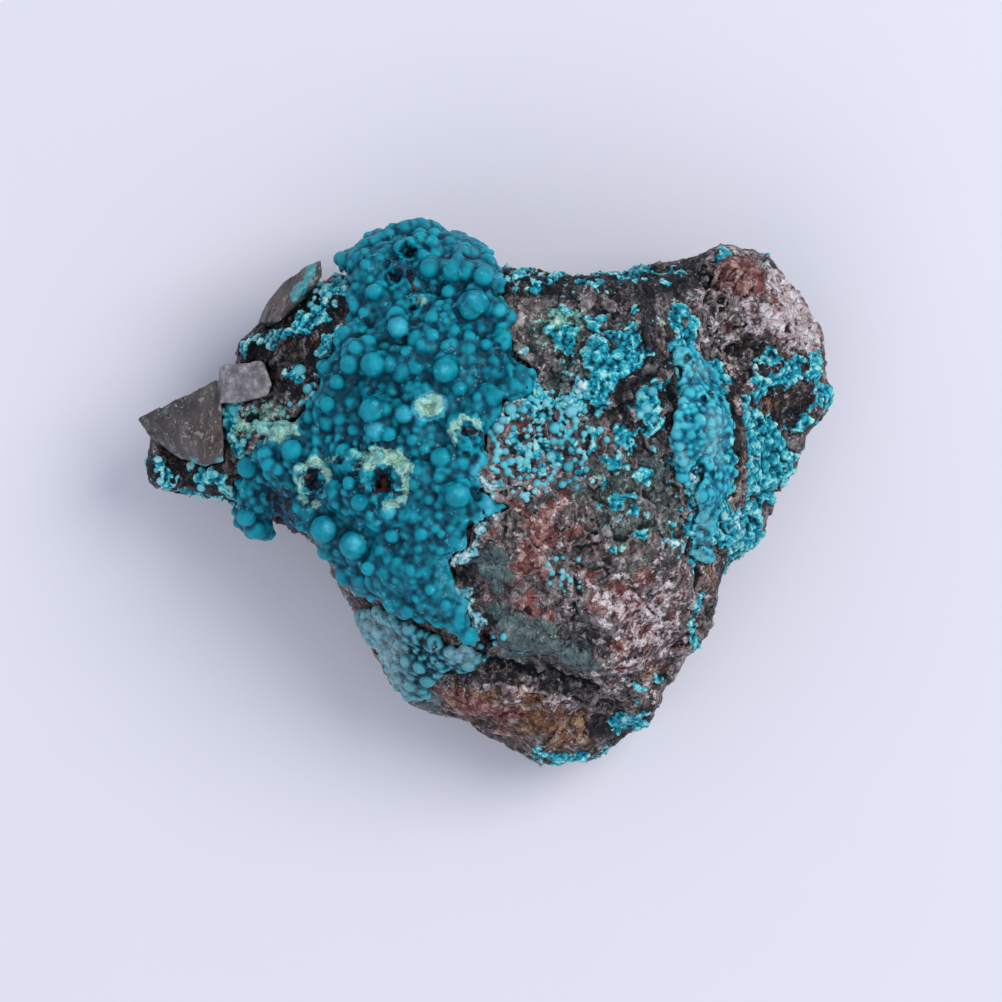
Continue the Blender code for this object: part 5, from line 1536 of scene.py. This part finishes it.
def rock_material():
    """Layers of minerals by their masks: stone, its weathering with painted crevice shade and
    raised-point highlights, then the copper minerals with painted crevice shade.
    """
    material, tree, shader = new_material("rock_colour")
    sources = grain_sockets(tree)
    for attribute, names in ROCK_CHANNELS.items():
        sources.update(zip(names, stored_channels(tree, attribute)))
    blend = blend_of(tree, sources, ROCK_BLEND, ROCK_BLEND_LESS)
    calm = blend_of(tree, sources, GLASSY_BLEND, GLASSY_BLEND_LESS)
    state = (colour_ramp(tree, blend, BASE_PALETTE), span(tree, blend, 0.0, 1.0, 0.8, 0.6))
    for row in ROCK_LAYERS:
        state = rock_layer(tree, sources, row, state, calm if row[0] == "glassy" else blend)
    state = (weathering_and_painted_light(tree, sources, state[0]), state[1])
    lively = blend_of(tree, sources, COPPER_BLEND, COPPER_BLEND_LESS)
    for row in COPPER_LAYERS:
        state = rock_layer(tree, sources, row, state, lively)
    colour, roughness = state
    # Painted shade: the crevices are darkened over the copper minerals as well.
    dark = span(tree, sources["cavity"], 0.6, 0.9, 0.0, 0.85)
    colour = mix_colour(tree, dark, colour, linear(COPPER_CREVICE_SHADE))
    height = weighted(tree, sources, (("Patch D", 1.0), ("Fine", 0.12), ("Crack", -0.3)))
    finish_surface(tree, shader, colour, roughness, 0.22, height, 0.8, 0.4)
    return material


def crust_material(name, colours):
    """Round-lumped chrysocolla, with painted shade in the crevices and a painted highlight on the
    tops.
    """
    crevice, deep, body, top, pale, green, hollow = colours
    material, tree, shader = new_material(name)
    grain = grain_sockets(tree)
    relief, *tints, holes = stored_channels(tree, "relief")
    swing = blend_of(tree, grain, (("Patch A", 0.7),), 0.35)
    level = math_node(tree, "ADD", relief, swing)
    # Painted shade and highlight: the colour runs from dark in crevices to pale on tops, by how far
    # each point stands out.
    colour = colour_ramp(tree, level, ((0.1, crevice), (0.36, deep), (0.6, body), (0.93, top)))
    cloud = span(tree, grain["Cloud"], 0.38, 0.68, 0.0, 0.4)
    colour = mix_colour(tree, cloud, colour, linear(deep))
    rows = (("Patch B", pale, 1.0, 1.3), ("Patch E", green, 2.2, 4.0))
    for tint_mask, (noise_name, tint, spread, hardness) in zip(tints, rows):
        mask = ragged(tree, tint_mask, grain[noise_name], spread, hardness)
        own = span(tree, weighted(tree, grain, (("Fine", 0.4), ("Patch F", 1.0))), 0.5, 0.9)
        shade = mix_colour(tree, math_node(tree, "MULTIPLY", own, 0.7), linear(tint), colour)
        colour = mix_colour(tree, mask, colour, shade)
    edge = ragged(tree, holes, grain["Patch D"], 2.4, 5.0)
    inside = colour_ramp(tree, grain["Patch C"], (*HOLLOW_STOPS, (0.8, hollow)))
    colour = mix_colour(tree, edge, colour, inside)
    # Painted highlights: small pale specks stand in for the glints of the sugary surface.
    painted_glints = span(tree, weighted(tree, grain, (("Fine", 0.5), ("Patch D", 1.0))), 1.0, 1.06)
    colour = tint_over(tree, colour, painted_glints, 0.5, pale)
    roughness = span(tree, grain["Patch C"], 0.3, 0.7, 0.28, 0.6)
    height = weighted(tree, grain, (("Patch F", 1.0), ("Fine", 0.12)))
    finish_surface(tree, shader, colour, roughness, 0.16, height, 0.5, 0.22)
    shader.inputs["Subsurface Weight"].default_value = 0.2
    shader.inputs["Subsurface Radius"].default_value = (0.3, 0.9, 1.0)
    shader.inputs["Subsurface Scale"].default_value = 0.6 * MM
    return material


def crystal_material(name):
    """Quartz: smoky, clouded grey, or stained brown, by the piece's own zones."""
    material, tree, shader = new_material(name)
    grain = grain_sockets(tree)
    blend = weighted(tree, grain, (("Cloud", 0.7), ("Patch A", 0.5)))
    colour = colour_ramp(tree, blend, SMOKY_PALETTE)
    layers = (("Patch B", CLOUDED_PALETTE), ("Patch A", STAIN_PALETTE), ("Patch C", TEAL_PALETTE))
    for zone, (noise_name, stops) in zip(stored_channels(tree, "crystal"), layers):
        mask = ragged(tree, zone, grain[noise_name], 2.2, 4.0)
        colour = mix_colour(tree, mask, colour, colour_ramp(tree, grain["Patch E"], stops))
    flecks = span(tree, weighted(tree, grain, FLECK_BLEND), 0.92, 0.98)
    colour = tint_over(tree, colour, flecks, 0.6, CRYSTAL_FLECK)
    colour = thin_lines(tree, grain["Streak"], SCRATCHES, colour)
    roughness = span(tree, grain["Patch E"], 0.3, 0.7, 0.1, 0.5)
    height = weighted(tree, grain, (("Cloud", 1.0), ("Patch F", 0.4)))
    finish_surface(tree, shader, colour, roughness, 0.4, height, 0.6, 0.5)
    return material


def floor_material(colour):
    """A plain pale floor with a faint mottling."""
    material, tree, shader = new_material("floor_colour")
    place = add_node(tree, "ShaderNodeTexCoord").outputs["Object"]
    shade = span(tree, soft_noise(tree, place, 90.0, 4.0)["Fac"], 0.0, 1.0, 0.0, 0.06)
    darker = tuple(channel * 0.8 for channel in colour)
    mixed = mix_colour(tree, shade, (*colour, 1.0), (*darker, 1.0))
    tree.links.new(mixed, shader.inputs["Base Color"])
    shader.inputs["Roughness"].default_value = 0.9
    return material


# --- stage --------------------------------------------------------------------------------


def add_floor(colour):
    bpy.ops.mesh.primitive_plane_add(size=FLOOR_SIZE, location=(0.0, 0.0, 0.0))
    floor = bpy.context.object
    floor.name = "floor"
    floor.data.materials.append(floor_material(colour))


def add_sky(strength):
    world = bpy.data.worlds.new("studio")
    world.use_nodes = True
    background = world.node_tree.nodes["Background"]
    background.inputs["Color"].default_value = SKY_COLOUR
    background.inputs["Strength"].default_value = strength
    bpy.context.scene.world = world


def add_light(name, place, size, power):
    """A soft round light that looks at the specimen."""
    light = bpy.data.lights.new(name, "AREA")
    light.shape = "DISK"
    light.size = size
    light.energy = power
    light.color = LIGHT_COLOUR
    lamp = add_object(name, light)
    lamp.location = place
    lamp.rotation_euler = Vector(place).to_track_quat("Z", "Y").to_euler()


def add_camera(height, lens):
    """A camera that looks straight down, a little to the right of the specimen's middle."""
    data = bpy.data.cameras.new("camera")
    data.lens = lens
    data.sensor_width = SENSOR_WIDTH
    data.clip_start = 0.01
    data.clip_end = 10.0
    camera = add_object("camera", data)
    camera.location = (Vector((*CAMERA_PLAN, 0.0)) + SHIFT) * MM + UP * height
    bpy.context.scene.camera = camera


def build_stage(settings):
    add_floor(settings.floor_colour)
    add_sky(settings.sky)
    for name, place, size, share in LIGHTS:
        add_light(name, place, size, settings.window * share)
    add_camera(settings.camera_height, settings.lens)
    bpy.context.scene.view_settings.view_transform = "Standard"


# --- add-on -------------------------------------------------------------------------------


class SPECIMEN_PG_settings(bpy.types.PropertyGroup):
    """Numbers that a user may want to change."""

    floor_colour: FloatVectorProperty(
        name="Floor colour",
        description="Colour of the floor under the specimen",
        default=FLOOR_COLOUR,
        subtype="COLOR",
    )
    sky: FloatProperty(name="Sky", description="Strength of the light from all round", default=0.68)
    window: FloatProperty(
        name="Window", description="Power of the soft light from the right", default=4.7
    )
    camera_height: FloatProperty(
        name="Camera height",
        description="Height of the camera over the floor",
        default=0.559,
        unit="LENGTH",
    )
    lens: FloatProperty(
        name="Lens", description="Focal length in millimetres", default=196.5, subtype="NONE"
    )


class SPECIMEN_OT_rock(bpy.types.Operator):
    """Builds the host rock's fine surface"""

    bl_idname = "specimen.rock"
    bl_label = "Host rock"

    def execute(self, context):
        grain_group()
        edge_group()
        build_rock()
        return {"FINISHED"}


class SPECIMEN_OT_crusts(bpy.types.Operator):
    """Builds the chrysocolla crusts and the small beads"""

    bl_idname = "specimen.crusts"
    bl_label = "Chrysocolla"

    def execute(self, context):
        rock = bpy.data.objects["rock_surface"]
        tree = tree_of(rock)
        build_crust(tree)
        for row in SMALL_CRUSTS:
            build_small_crust(row, tree)
        build_beads(rock)
        thin(rock)
        return {"FINISHED"}


class SPECIMEN_OT_crystals(bpy.types.Operator):
    """Builds the quartz crystals"""

    bl_idname = "specimen.crystals"
    bl_label = "Quartz"

    def execute(self, context):
        build_crystal("quartz_arm", "quartz_arm_surface", ARM_ZONES)
        build_crystal("quartz_shard", "quartz_shard_surface", SHARD_ZONES)
        return {"FINISHED"}


class SPECIMEN_OT_stage(bpy.types.Operator):
    """Adds the floor, the light and the camera"""

    bl_idname = "specimen.stage"
    bl_label = "Stage"

    def execute(self, context):
        build_stage(context.scene.specimen)
        return {"FINISHED"}


class SPECIMEN_PT_panel(bpy.types.Panel):
    """Buttons for each group of pieces"""

    bl_idname = "SPECIMEN_PT_panel"
    bl_label = "Chrysocolla specimen"
    bl_space_type = "VIEW_3D"
    bl_region_type = "UI"
    bl_category = "Specimen"

    def draw(self, context):
        settings = context.scene.specimen
        for name in ("floor_colour", "sky", "window", "camera_height", "lens"):
            self.layout.prop(settings, name)
        for operator in OPERATORS:
            self.layout.operator(operator.bl_idname)


OPERATORS = (
    SPECIMEN_OT_rock,
    SPECIMEN_OT_crusts,
    SPECIMEN_OT_crystals,
    SPECIMEN_OT_stage,
)
CLASSES = (SPECIMEN_PG_settings, *OPERATORS, SPECIMEN_PT_panel)


def register():
    for item in CLASSES:
        bpy.utils.register_class(item)
    bpy.types.Scene.specimen = PointerProperty(type=SPECIMEN_PG_settings)


def unregister():
    del bpy.types.Scene.specimen
    for item in reversed(CLASSES):
        bpy.utils.unregister_class(item)


def main():
    register()
    bpy.ops.specimen.rock()
    bpy.ops.specimen.crusts()
    bpy.ops.specimen.crystals()
    bpy.ops.specimen.stage()


if __name__ == "__main__":
    main()
